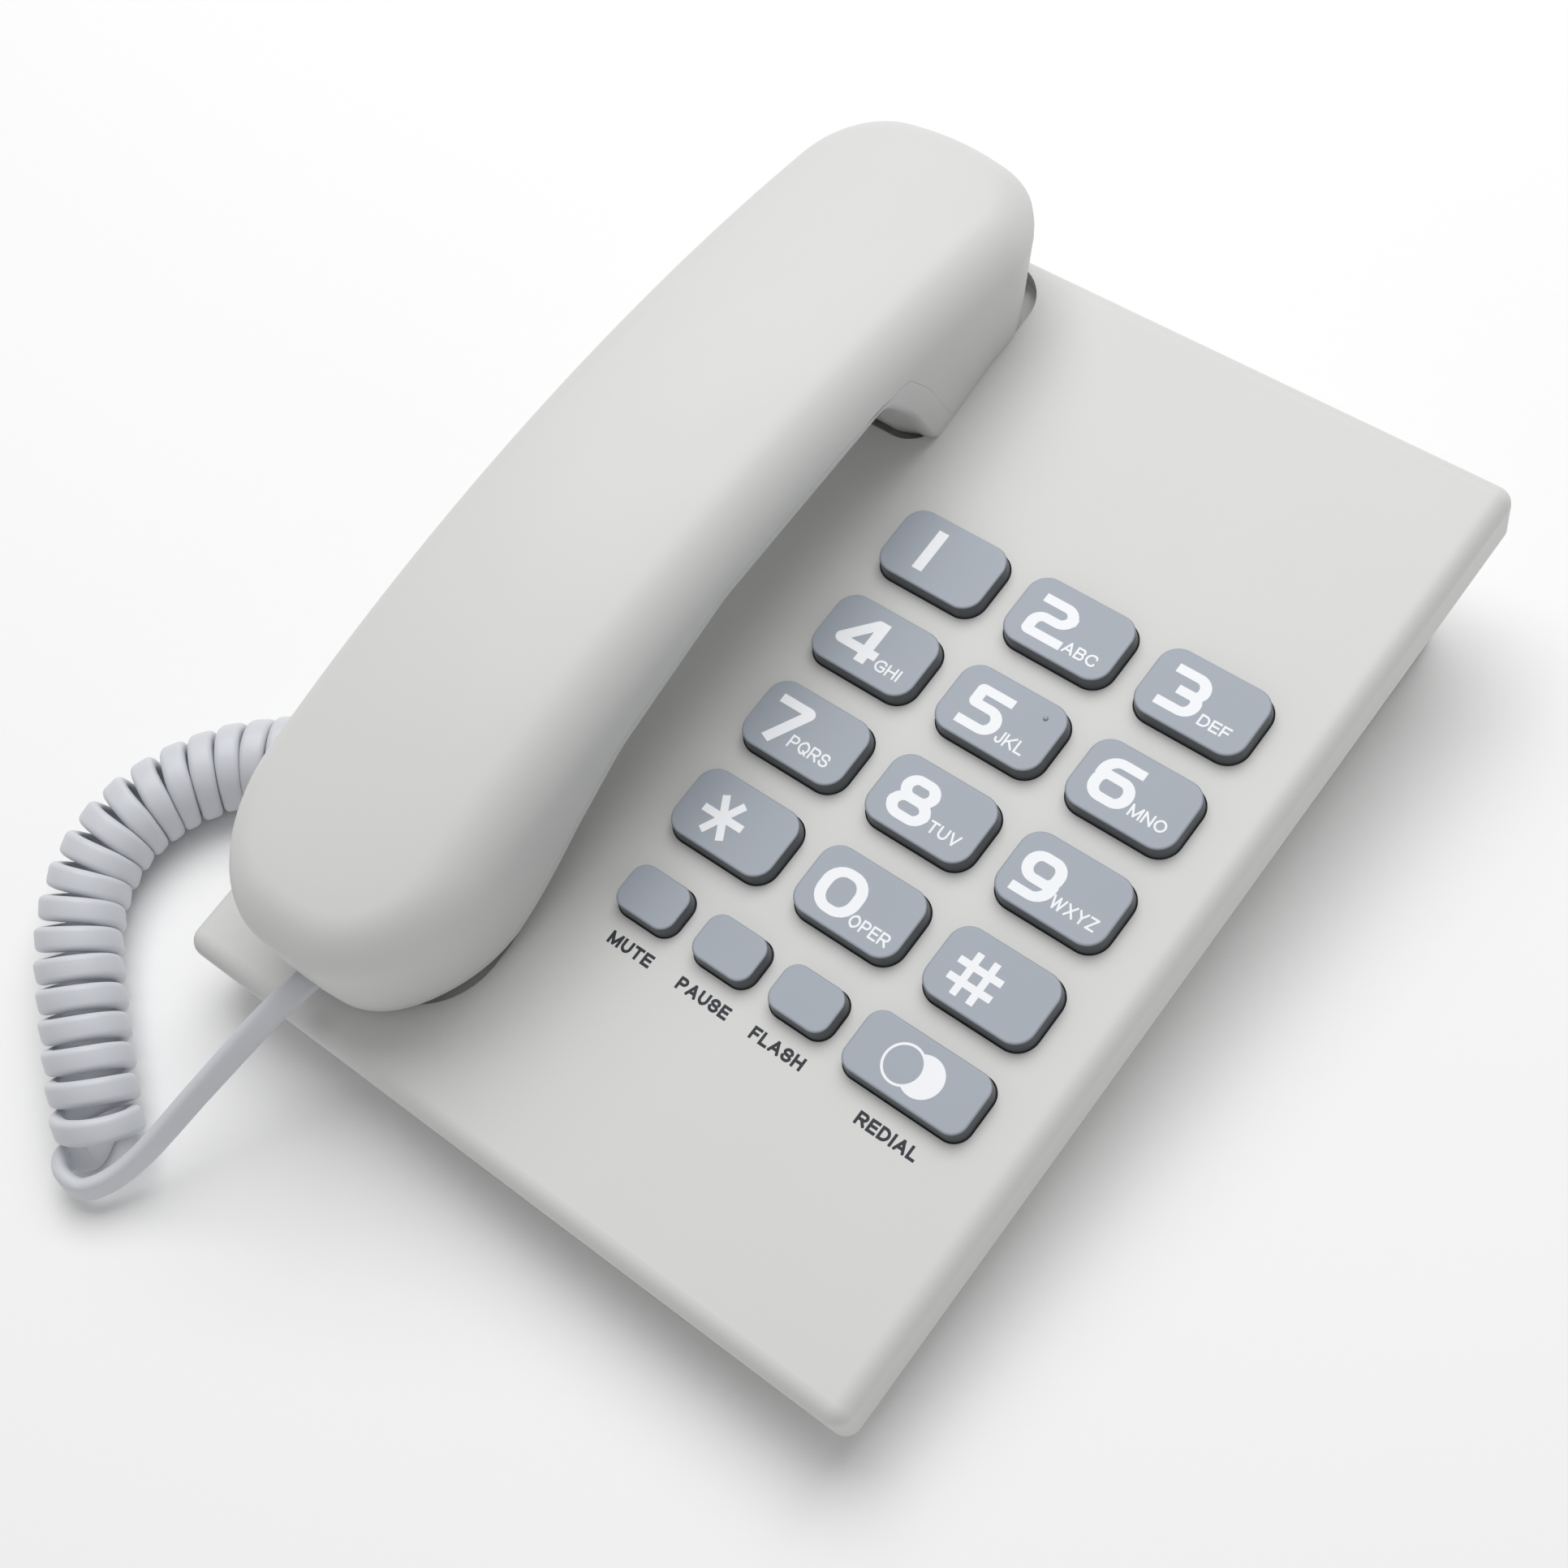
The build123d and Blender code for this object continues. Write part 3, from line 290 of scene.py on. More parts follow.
def rounded(points, steps=7):
    """Polyline through (x, y, radius) points, with arcs at the corners."""
    line = []
    for before, here, after in zip([None] + points[:-1], points, points[1:] + [None]):
        corner = np.array(here[:2], float)
        radius = here[2] if len(here) > 2 else 0
        if before is None or after is None or radius == 0:
            line.append(corner)
            continue
        one = unit(np.array(before[:2], float) - corner)
        two = unit(np.array(after[:2], float) - corner)
        half = math.acos(float(np.clip(one @ two, -1, 1))) / 2
        centre = corner + unit(one + two) * radius / math.sin(half)
        start = corner + one * radius / math.tan(half)
        end = corner + two * radius / math.tan(half)
        for step in range(steps + 1):
            t = step / steps
            direction = unit((start - centre) * (1 - t) + (end - centre) * t)
            line.append(centre + direction * radius)
    return np.array(line)


def smooth_line(points, count):
    """Points spread evenly along a Catmull-Rom curve through the given ones."""
    knots = np.array(points, float)
    padded = np.vstack((2 * knots[0] - knots[1], knots, 2 * knots[-1] - knots[-2]))
    fine = []
    for a, b, c, d in zip(padded, padded[1:], padded[2:], padded[3:]):
        for t in np.linspace(0, 1, 40, endpoint=False):
            bend = (2 * a - 5 * b + 4 * c - d) * t**2
            twist = (3 * b - a - 3 * c + d) * t**3
            fine.append((2 * b + (c - a) * t + bend + twist) / 2)
    fine = np.array(fine + [knots[-1]])
    walked = np.concatenate(([0], np.cumsum(np.linalg.norm(np.diff(fine, axis=0), axis=1))))
    steps = np.linspace(0, walked[-1], count)
    return np.stack([np.interp(steps, walked, fine[:, k]) for k in range(fine.shape[1])], 1), steps


# ------------------------------------------------------------------ cord

COIL_MIDDLE = 6.6  # radius of the middle of the cord's flat section round the coil's axis
CORD_WIDTH = 4.7
CORD_THICKNESS = 2.8
CORD_ROUND = 1.2
COIL_LINE = [
    (-84.0, -49.0),
    (-93.9, -57.1),
    (-101.4, -64.3),
    (-107.4, -75.0),
    (-108.7, -86.3),
    (-105.5, -97.1),
    (-98.7, -106.2),
    (-89.6, -113.9),
    (-79.5, -121.5),
    (-66.5, -131.0),
]
PITCHES = [(0.0, 4.9), (0.4, 5.2), (0.6, 5.9), (1.0, 6.4)]  # share of the way, advance of a turn
LEANS = [(0.0, -10), (0.3, -4), (0.5, 20), (0.7, 26), (0.9, 30), (1.0, 46)]  # degrees
STEPS_PER_TURN = 44
TURN_CONTACT = 0.965  # the cord's width where turns touch, as a share of their distance
SWING = 4  # weight of the outward directions beside the places along the loose cord

# the loose runs between their ends: places, and the directions that the cord's broad face looks in
ROOT_RUN = [((-87.0, -34.0, 10.0), (-0.6, 0.3, 0.8)), ((-89.3, -42.0, 12.2), (-0.4, -0.2, 0.9))]
TAIL_RUN = [
    ((-68.6, -134.2, 0.7), (-0.5, 0.3, -0.8)),
    ((-71.2, -136.9, 3.0), (-0.9, -0.4, 0.0)),
    ((-67.8, -139.6, 4.0), (-0.2, -1.0, 0.1)),
    ((-62.2, -138.6, 4.2), (0.6, -0.8, 0.2)),
    ((-57.3, -130.3, 7.0), (0.88, -0.46, 0.15)),
    ((-51.8, -114.4, 16.0), (0.8, -0.4, 0.3)),
    ((-46.5, -99.0, 24.6), (0.6, -0.35, 0.6)),
]


def along_way(share, table):
    """Value of a table of (share of the way, value) rows, linear between the rows."""
    return np.interp(share, [row[0] for row in table], [row[1] for row in table])


def coil_rail():
    """Middle line, outward direction and width of the coiled cord. The coil is left-handed."""
    line, walked = smooth_line(COIL_LINE, 900)
    share = walked / walked[-1]
    pitch = along_way(share, PITCHES)
    turns = np.concatenate(([0], np.cumsum(np.diff(walked) / pitch[1:])))
    turns += 0.5 - turns[-1] % 1.0  # the coil ends at the bottom of a turn
    count = int((turns[-1] - turns[0]) * STEPS_PER_TURN)
    at = np.linspace(turns[0], turns[-1], count)
    x, y = (np.interp(at, turns, line[:, k]) for k in range(2))
    lean = np.radians(along_way(np.interp(at, turns, share), LEANS))[:, None]
    outer = COIL_MIDDLE + CORD_THICKNESS / 2
    rise = outer * np.cos(lean[:, 0]) + CORD_WIDTH / 2 * np.abs(np.sin(lean[:, 0]))
    middle = np.stack((x, y, DESK / MM + rise), 1)
    level = middle.copy()
    level[:, 2] = 0
    ahead = unit(np.gradient(level, axis=0))
    up = np.array((0.0, 0.0, 1.0))
    side = np.cross(up, ahead)
    leaning = np.cos(lean) * up + np.sin(lean) * ahead
    angle = (2 * np.pi * at)[:, None]
    outward = np.cos(angle) * leaning + np.sin(angle) * side
    rail = middle + COIL_MIDDLE * outward
    return rail, outward, ribbon_width(at, rail)


def ribbon_width(at, rail):
    """The cord's width at each step, narrower where the bend presses the turns together."""
    steps = np.arange(len(at))
    one_turn_on = np.interp(at + 1, at, steps)
    after = np.stack([np.interp(one_turn_on, steps, rail[:, k]) for k in range(3)], 1)
    room = np.linalg.norm(after - rail, axis=1)
    room[at > at[-1] - 1] = 2 * CORD_WIDTH
    return np.minimum(CORD_WIDTH, TURN_CONTACT * room)


def soft_box(width, thickness, corner, steps=4):
    """Outline of a rounded rectangle, as offsets across the width and the thickness."""
    outline = []
    for quarter in range(4):
        sign_x = 1 if quarter in (0, 3) else -1
        sign_y = 1 if quarter in (0, 1) else -1
        for step in range(steps + 1):
            angle = math.pi / 2 * (quarter + step / steps)
            x = sign_x * (width / 2 - corner) + corner * math.cos(angle)
            y = sign_y * (thickness / 2 - corner) + corner * math.sin(angle)
            outline.append((x, y))
    return outline


def ribbon(name, rail, outward, widths, material):
    """A flat cord swept along a rail, with its thickness along the outward direction."""
    travel = unit(np.gradient(rail, axis=0))
    outward = unit(outward - travel * (outward * travel).sum(1, keepdims=True))
    across = np.cross(travel, outward)
    vertices = []
    for place, out, over, width in zip(rail, outward, across, widths):
        for u, v in soft_box(width, CORD_THICKNESS, CORD_ROUND):
            vertices.append((place + u * over + v * out) * MM)
    ring = len(vertices) // len(rail)
    faces = [tuple(range(ring)), tuple(range(len(vertices) - ring, len(vertices)))]
    for start in range(0, len(vertices) - ring, ring):
        for k in range(ring):
            after = (k + 1) % ring
            faces.append((start + k, start + after, start + ring + after, start + ring + k))
    return new_piece(name, vertices, faces, material)


def loose_cord(places, directions, per_mm=2.0):
    """A free run of cord with the given outward directions, smoothly joined to a coil's end."""
    stations = np.hstack((np.array(places, float), unit(np.array(directions, float)) * SWING))
    length = np.linalg.norm(np.diff(stations[:, :3], axis=0), axis=1).sum()
    run, _ = smooth_line(stations, int(length * per_mm))
    return run[:, :3], unit(run[:, 3:])


def cord():
    """One cord from the base's socket through the coil to the handset's socket."""
    rail, outward, widths = coil_rail()
    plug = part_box("cord_plug_base")
    root_end = Vector((plug[0].x, (plug[0].y + plug[1].y) / 2, (plug[0].z + plug[1].z) / 2)) / MM
    root_places = [root_end + Vector((1.5, 0, 0)), root_end + Vector((-6, -0.5, 0))]
    root_places += [place for place, _ in ROOT_RUN] + [rail[0]]
    root_out = [(0, 0, 1), (0, 0, 1)] + [out for _, out in ROOT_RUN] + [outward[0]]
    root, root_dir = loose_cord(root_places, root_out)
    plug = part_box("cord_plug_handset")
    end = Vector(((plug[0].x + plug[1].x) / 2, plug[0].y, (plug[0].z + plug[1].z) / 2)) / MM
    end += Vector((0, 1.2, -0.8))
    tail_places = [rail[-1]] + [place for place, _ in TAIL_RUN] + [end]
    tail_out = [outward[-1]] + [out for _, out in TAIL_RUN] + [(0.4, -0.3, 0.8)]
    tail, tail_dir = loose_cord(tail_places, tail_out)
    whole = np.vstack((root[:-1], rail, tail[1:]))
    facing = np.vstack((root_dir[:-1], outward, tail_dir[1:]))
    ease_in = np.linspace(CORD_WIDTH, widths[0], len(root) - 1)
    ease_out = np.full(len(tail) - 1, CORD_WIDTH)
    widths = np.concatenate((ease_in, widths, ease_out))
    piece = ribbon("cord", whole, facing, widths, "cord_vinyl")
    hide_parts("coil_cord")
    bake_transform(piece)


cord()

# ------------------------------------------------------------------ handset

HANDSET_X = -43.5  # middle of the handset in the plate frame; all sizes here are in mm
HANDSET_HALF = 24.8
HANDSET_FRONT, HANDSET_BACK = -91.0, 100.5
FRONT_ARC, BACK_ARC = 60.0, 75.0  # radii of the bowed ends, seen from above
FRONT_CORNER, BACK_CORNER = 19.0, 14.0
ARCH_MIDDLE, ARCH_TOP, ARCH_RADIUS = -6.0, 39.6, 370.0
CROWN_RADIUS = 95.0  # of the top, across the handset
TOP_ROUND, LOW_ROUND = 8.0, 4.0
EAR_CORNER = 6.0  # round of the ear block's front corners, seen from above
DRAFT = math.tan(math.radians(2.0))
WALL = 2.2
SEAM_RISE = 4.5  # the seam between the shells above the underside
SEAM_GAP = 0.08
BACK_LEAN, EAR_LEAN = 0.33, 0.078  # mm per mm of depth below the widest level
FRONT_LEAN, MOUTH_LEAN = 0.08, 0.13
MOUTH_FOOT = (18.0, -83.0, -56.0, 12.5)  # half width, y from and to, corner radius
FOOT_LEVELS = (-2.0, 2.0)
FOOT_EDGE = [(1, 0.8), (0.985, 0.2), (0.965, 0.0)]  # share of the outline, height over the lowest level
UNDERSIDE = [(-91, 0.5), (-64, 0.5), (-57, 4), (-45, 11), (-30, 17), (0, 22)]
UNDERSIDE += [(44, 21), (50, 10), (53.2, -3.9), (101, -3.9)]
SPINE_INSET = 28.0  # from the ends to the line that the rays start from
RECEIVER_AT, MICROPHONE_AT = 71.5, -70.9  # y of their middles
RECEIVER_HOLES = [(0.0, 0.0)] + [(6 * math.cos(a), 6 * math.sin(a)) for a in np.radians(range(0, 360, 60))]
RECEIVER_HOLE = (1.2, -8, 3)  # radius, lowest and highest level of the cutter
MICROPHONE_HOLES = (-4, 0, 4)
MICROPHONE_HOLE = (0.9, -6, 4.5)
SHELL_SCREWS = [(36.0, 25.2), (-47.0, 13.6)]  # y and seat level
SCREW_RECESS = (2.8, 16)  # radius and depth
CORD_ENTRY = (6.6, 5.2, 9.5)  # width, height and level of the opening
CORD_ENTRY_REACH = (-97, -84)  # y from and to of its cutter
SHARP_ANGLE = math.radians(40)


def round_meet(a, b, radius):
    """Distance to the overlap of two shapes with a rounded corner."""
    inner = np.minimum(np.maximum(a, b), -radius)
    return inner + np.hypot(np.maximum(a + radius, 0), np.maximum(b + radius, 0))


def plan_distance(x, y):
    """Signed distance to the handset's outline seen from above."""
    across = np.abs(x) - HANDSET_HALF
    back = np.hypot(x, y - (HANDSET_BACK - BACK_ARC)) - BACK_ARC
    front = np.hypot(x, y - (HANDSET_FRONT + FRONT_ARC)) - FRONT_ARC
    return np.where(
        y > 0, round_meet(across, back, BACK_CORNER), round_meet(across, front, FRONT_CORNER)
    )


def handset_rays(along=110, around=50):
    """Starts on the spine and directions outwards, once round the handset."""
    low, high = HANDSET_FRONT + SPINE_INSET, HANDSET_BACK - SPINE_INSET
    spine = np.linspace(low, high, along)
    turn = np.linspace(0, np.pi, around)[1:-1]
    starts = [(0, y) for y in spine] + [(0, high)] * len(turn)
    starts += [(0, y) for y in spine[::-1]] + [(0, low)] * len(turn)
    outwards = [(1, 0)] * along + [(math.cos(a), math.sin(a)) for a in turn]
    outwards += [(-1, 0)] * along + [(-math.cos(a), -math.sin(a)) for a in turn]
    return np.array(starts, float), np.array(outwards, float)


STARTS, OUTWARDS = handset_rays()


def contour(inset):
    """Where each ray meets the outline drawn in by the inset."""
    near, far = np.zeros(len(STARTS)), np.full(len(STARTS), 60.0)
    for _ in range(36):
        middle = (near + far) / 2
        points = STARTS + OUTWARDS * middle[:, None]
        inside = plan_distance(points[:, 0], points[:, 1]) < -inset
        near, far = np.where(inside, middle, near), np.where(inside, far, middle)
    return STARTS + OUTWARDS * near[:, None]


def under_level(x, y):
    """Level of the underside, with its corners eased and the ear block's front corners rounded."""
    table = np.array(UNDERSIDE, float)
    share = np.clip((np.abs(x) - 16) / EAR_CORNER, 0, 1)
    y = y - np.where(y > 40, EAR_CORNER * (1 - np.sqrt(1 - share**2)), 0)
    shifts = np.linspace(-1.6, 1.6, 9)
    return np.mean([np.interp(y + shift, table[:, 0], table[:, 1]) for shift in shifts], 0)


def top_level(x, y):
    """Level of the top: an arch lengthwise and a flat crown across."""
    arch = ARCH_TOP - ARCH_RADIUS + np.sqrt(ARCH_RADIUS**2 - (y - ARCH_MIDDLE) ** 2)
    return arch - CROWN_RADIUS + np.sqrt(CROWN_RADIUS**2 - x**2)


def leaning(points):
    """The ends and the ear's sides lean in towards the underside."""
    x, y, z = points.T.copy()
    drop = np.clip(18.0 - z, 0, 30)
    ear = np.clip((y - 50) / 25, 0, 1)
    y_new = y - drop * BACK_LEAN * np.clip((y - 60) / 35, 0, 1)
    y_new += np.clip(10.0 - z, 0, 12) * FRONT_LEAN * np.clip((-70 - y) / 15, 0, 1)
    mouth = np.clip((-45 - y) / 20, 0, 1)
    tuck = drop * EAR_LEAN * ear + np.clip(17.0 - z, 0, 18) * MOUTH_LEAN * mouth
    x_new = x - np.sign(x) * tuck * np.clip(np.abs(x) / 20, 0, 1)
    return np.stack((x_new, y_new, z), 1)


def inwards(ring, level):
    """Rings from an edge to the spine."""
    rings = []
    for share in (0.8, 0.55, 0.28, 0.0):
        flat = STARTS + (ring[:, :2] - STARTS) * share
        rings.append(np.column_stack((flat, level(flat[:, 0], flat[:, 1]))))
    return rings


def skin(depth):
    """Rings of the handset's surface drawn in by a depth: the underside's, then the upper ones."""
    base = contour(depth)
    low_round, top_round = LOW_ROUND - depth, TOP_ROUND - depth
    shoulder = top_level(base[:, 0], base[:, 1]) - TOP_ROUND
    foot = contour(depth + low_round + 1.0)
    bottom = under_level(foot[:, 0], foot[:, 1]) + depth

    def at(level, extra=0.0):
        inset = depth + (shoulder - level) * DRAFT + extra
        gap = inset - depth
        flat = base - OUTWARDS * gap[:, None]
        return np.column_stack((flat, level))

    lower = [at(bottom + low_round * (1 - math.cos(a)), low_round * (1 - math.sin(a)))
             for a in np.radians((0, 20, 38, 56, 74, 90))]
    lower = inwards(lower[0], lambda x, y: under_level(x, y) + depth)[::-1] + lower
    seam = under_level(base[:, 0], base[:, 1]) + SEAM_RISE
    seam = np.minimum(np.maximum(seam, bottom + low_round + 0.2), shoulder - 0.5)
    lower.append(at(seam - SEAM_GAP))
    upper = [at(seam + (shoulder - seam) * share) for share in (0.0, 0.3, 0.6, 0.85)]
    for angle in np.radians(range(0, 91, 9)):
        edge = contour(depth + top_round * (1 - math.cos(angle)))
        level = top_level(edge[:, 0], edge[:, 1]) - TOP_ROUND + top_round * math.sin(angle)
        upper.append(np.column_stack((edge, level)))
    upper += inwards(upper[-1], lambda x, y: top_level(x, y) - depth)
    return [leaning(ring) for ring in lower], [leaning(ring) for ring in upper]


def to_world(points):
    """Plate coordinates of the handset in millimetres to world metres."""
    matrix = np.array(PLATE)
    local = (np.asarray(points, float) + (HANDSET_X, 0, 0)) * MM
    return local @ matrix[:3, :3].T + matrix[:3, 3]


def ring_piece(name, rings, material):
    """A closed surface through rings whose first and last one collapse onto the spine."""
    count = len(rings[0])
    faces = []
    for k in range(len(rings) - 1):
        for i in range(count):
            j = (i + 1) % count
            faces.append((k * count + i, k * count + j, (k + 1) * count + j, (k + 1) * count + i))
    obj = new_piece(name, to_world(np.vstack(rings)), faces, material)
    mend(obj.data, 2e-6, 1e-7)
    return obj


def pin(x, y, radius, low, high, sides=28):
    """Vertices and faces of an upright pin on the handset, in plate millimetres."""
    ring = [(x + radius * math.cos(2 * math.pi * k / sides), y + radius * math.sin(2 * math.pi * k / sides))
            for k in range(sides)]
    vertices = [(px, py, low) for px, py in ring] + [(px, py, high) for px, py in ring]
    faces = [(k, (k + 1) % sides, sides + (k + 1) % sides, sides + k) for k in range(sides)]
    return vertices, faces + [tuple(range(sides))[::-1], tuple(range(sides, 2 * sides))]


def slab(width, y0, y1, z0, z1):
    """Vertices and faces of a block across the handset's middle, in plate millimetres."""
    vertices = [(x, y, z) for z in (z0, z1) for x, y in
                ((-width / 2, y0), (width / 2, y0), (width / 2, y1), (-width / 2, y1))]
    sides = [(k, (k + 1) % 4, 4 + (k + 1) % 4, 4 + k) for k in range(4)]
    return vertices, sides + [(3, 2, 1, 0), (4, 5, 6, 7)]


def carve(obj, shapes):
    """Cuts closed shapes, given as vertices and faces, out of a closed piece."""
    vertices, faces = [], []
    for points, sides in shapes:
        faces += [tuple(len(vertices) + i for i in side) for side in sides]
        vertices += list(points)
    mesh = bpy.data.meshes.new("cutter")
    mesh.from_pydata([tuple(v) for v in to_world(vertices)], [], faces)
    cutter = bpy.data.objects.new("cutter", mesh)
    bpy.context.scene.collection.objects.link(cutter)
    cut = obj.modifiers.new("holes", "BOOLEAN")
    cut.operation = "DIFFERENCE"
    cut.solver = "MANIFOLD"
    cut.object = cutter
    bpy.context.view_layer.update()
    result = bpy.data.meshes.new_from_object(obj.evaluated_get(bpy.context.evaluated_depsgraph_get()))
    obj.modifiers.clear()
    obj.data = result
    bpy.data.objects.remove(cutter)


def mouth_foot():
    """The flat foot of the mouth end that sits in its cup, with an eased lower edge."""
    half, y0, y1, corner = MOUTH_FOOT
    low, high = FOOT_LEVELS
    middle = np.array((0, (y0 + y1) / 2))
    edge = [(half, y0, corner), (half, y1, corner), (-half, y1, corner), (-half, y0, corner)]
    edge = rounded([(0, y0), *edge, (0, y0)], 12)[:-1]
    rings = []
    levels = [(0, high), (1, high)] + [(share, low + rise) for share, rise in FOOT_EDGE] + [(0, low)]
    for share, level in levels:
        ring = middle + (edge - middle) * share
        rings.append(np.column_stack((ring, np.full(len(ring), level))))
    return ring_piece("mouth_foot", rings, "light_plastic")


def handset():
    """Both shells, with the receiver's and microphone's holes, screw recesses and cord entry."""
    low_out, up_out = skin(0.0)
    low_in, up_in = skin(WALL)
    upper = ring_piece("handset_upper", up_out[::-1] + up_in, "light_plastic")
    lower = ring_piece("handset_lower", low_out + low_in[::-1], "light_plastic")
    foot = mouth_foot()
    mouth_holes = [pin(x, MICROPHONE_AT, *MICROPHONE_HOLE) for x in MICROPHONE_HOLES]
    carve(foot, mouth_holes)
    holes = mouth_holes + [pin(x, RECEIVER_AT + y, *RECEIVER_HOLE) for x, y in RECEIVER_HOLES]
    radius, depth = SCREW_RECESS
    holes += [pin(0, y, radius, seat - depth, seat) for y, seat in SHELL_SCREWS]
    carve(lower, holes)
    width, height, level = CORD_ENTRY
    carve(upper, [slab(width, *CORD_ENTRY_REACH, level - height / 2, level + height / 2)])
    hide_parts("handset_outer_shell")
    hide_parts("handset_inner_shell")
    for piece in (upper, lower, foot):
        piece.data.shade_smooth()
        piece.data.set_sharp_from_angle(angle=SHARP_ANGLE)
        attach(piece, "handset")


handset()

# ------------------------------------------------------------------ printed legends

PRINT_LIFT = 0.035  # how far the print stands above its face, mm
PRINT_SINK = 0.05
PEN_UPRIGHT = 2.1  # stroke width of the digits' upright strokes, mm
PEN_LEVEL = 1.7
STAR_PEN = 1.44
HASH_PEN = 1.32
FAR = 99.0  # a distance beyond every legend, mm
OFF_GRID = 1e-5  # keeps the zero lines off the grid's own points


def blank(width, height, margin, step):
    """Grid over a box with a margin round it, and a field of distances far from everything."""
    x = np.arange(-margin, width + margin, step)
    y = np.arange(-margin, height + margin, step)
    grid_x, grid_y = np.meshgrid(x, y)
    return x, y, grid_x, grid_y, np.full(grid_x.shape, FAR)


def stroke_field(x, y, line, pen):
    """Signed distance to a stroke with square ends and round joints. The pen is half its width."""
    field = np.full(x.shape, FAR)
    for a, b in zip(line, line[1:]):
        length = np.linalg.norm(b - a)
        if length < 1e-6:
            continue
        ahead = (b - a) / length
        along = (x - a[0]) * ahead[0] + (y - a[1]) * ahead[1]
        aside = np.abs((y - a[1]) * ahead[0] - (x - a[0]) * ahead[1])
        field = np.minimum(field, np.maximum(aside - pen, np.abs(along - length / 2) - length / 2))
    for joint_x, joint_y in line[1:-1]:
        field = np.minimum(field, np.hypot(x - joint_x, y - joint_y) - pen)
    return field


def outlines(field, x, y):
    """Closed zero lines of a field on a grid, by marching squares."""
    inside = field < 0
    places = {}
    links = {}

    def crossing(i, j, di, dj):
        a, b = field[j, i], field[j + dj, i + di]
        t = a / (a - b)
        key = (2 * i + di, 2 * j + dj)
        places[key] = (x[i] + t * (x[i + di] - x[i]), y[j] + t * (y[j + dj] - y[j]))
        return key

    count = inside[:-1, :-1].astype(int) + inside[1:, :-1] + inside[:-1, 1:] + inside[1:, 1:]
    for j, i in np.argwhere((count > 0) & (count < 4)):
        corners = (inside[j, i], inside[j, i + 1], inside[j + 1, i + 1], inside[j + 1, i])
        sides = ((i, j, 1, 0), (i + 1, j, 0, 1), (i, j + 1, 1, 0), (i, j, 0, 1))
        entries, exits = [], []
        for k, side in enumerate(sides):
            if corners[k] != corners[(k + 1) % 4]:
                (exits if corners[k] else entries).append(crossing(*side))
        links.update(zip(entries, exits))
    loops = []
    while links:
        start, here = links.popitem()
        loop = [start, here]
        while here in links:
            here = links.pop(here)
            loop.append(here)
        loops.append([places[key] for key in loop[:-1]])
    return [loop for loop in loops if len(loop) > 8]


def glyph(strokes, size):
    """Outlines of a glyph drawn with strokes in a box of the given size, in millimetres."""
    squash = PEN_UPRIGHT / PEN_LEVEL
    x, y, grid_x, grid_y, field = blank(*size, 0.4, 0.07)
    for points in strokes:
        line = rounded(points) * (1, squash)
        field = np.minimum(field, stroke_field(grid_x, grid_y * squash, line, PEN_UPRIGHT / 2))
    return outlines(field + OFF_GRID, x, y)


def digit_strokes(name, w, h):
    """Strokes of a squarish extended digit in a box of width w and height h."""
    u, v = PEN_UPRIGHT / 2, PEN_LEVEL / 2
    left, right, low, top = u, w - u, v, h - v
    centre, mid = w / 2, h / 2
    r = 2.0
    if name == "1":
        return [[(centre, 0), (centre, h)]]
    if name == "2":
        hook = [(left - u * 0.6, top), (right, top, r), (right, mid, r), (left, mid, r * 0.9)]
        return [hook + [(left, low, 0.3), (w, low)]]
    if name == "3":
        return [
            [(0.1, top), (right, top, r), (right, mid, 1.3), (w * 0.3, mid)],
            [(w * 0.3, mid), (right, mid, 1.3), (right, low, r), (0, low)],
        ]
    if name == "4":
        stem, bar = w * 0.735, h * 0.27
        return [
            [(stem, 0), (stem, h)],
            [(stem, top), (stem - u * 0.8, top, 0.2), (u * 0.55, bar, 0.3), (w, bar)],
        ]
    if name == "5":
        waist = h * 0.56
        neck = [(w * 0.96, top), (left, top, 0.3), (left, waist, 0.3)]
        return [neck + [(right, waist, r), (right, low, r), (0, low)]]
    if name in ("6", "9"):
        waist = h * 0.58
        foot = ((left + right) / 2, low)
        loop = [foot, (left, low, r), (left, waist, 1.6), (right, waist, r), (right, low, r), foot]
        arm = [(left, mid), (left, top, 2.6), (w * 0.93, top)]
        if name == "6":
            return [loop, arm]
        return [[(w - x, h - y, *turn) for x, y, *turn in line] for line in (loop, arm)]
    if name == "7":
        return [[(0, top), (right - 0.1, top, 0.4), (w * 0.26, 0)]]
    if name == "8":
        slim, small = w * 0.06, r * 0.9
        upper = [(right - slim, top, small), (right - slim, mid + 0.1, small)]
        upper += [(left + slim, mid + 0.1, small), (left + slim, top, small)]
        lower = [(left, low, r), (left, mid, r), (right, mid, r), (right, low, r)]
        return [[(centre, top), *upper, (centre, top)], [(centre, low), *lower, (centre, low)]]
    if name == "0":
        big = 2.9
        ring = [(left, low, big), (left, top, big), (right, top, big), (right, low, big)]
        return [[(centre, low), *ring, (centre, low)]]
    raise ValueError(name)


def star_outlines(w, h):
    """Three crossing bars."""
    x, y, grid_x, grid_y, field = blank(w, h, 0.3, 0.07)
    middle = np.array((w / 2, h / 2))
    for angle, reach in ((0, w / 2), (60, w / 2 - 0.1), (120, w / 2 - 0.1)):
        step = np.array((math.cos(math.radians(angle)), math.sin(math.radians(angle)))) * reach
        step *= (1, h / w * 1.12)
        bar = stroke_field(grid_x, grid_y, np.array((middle - step, middle + step)), STAR_PEN / 2)
        field = np.minimum(field, bar)
    return outlines(field + OFF_GRID, x, y)


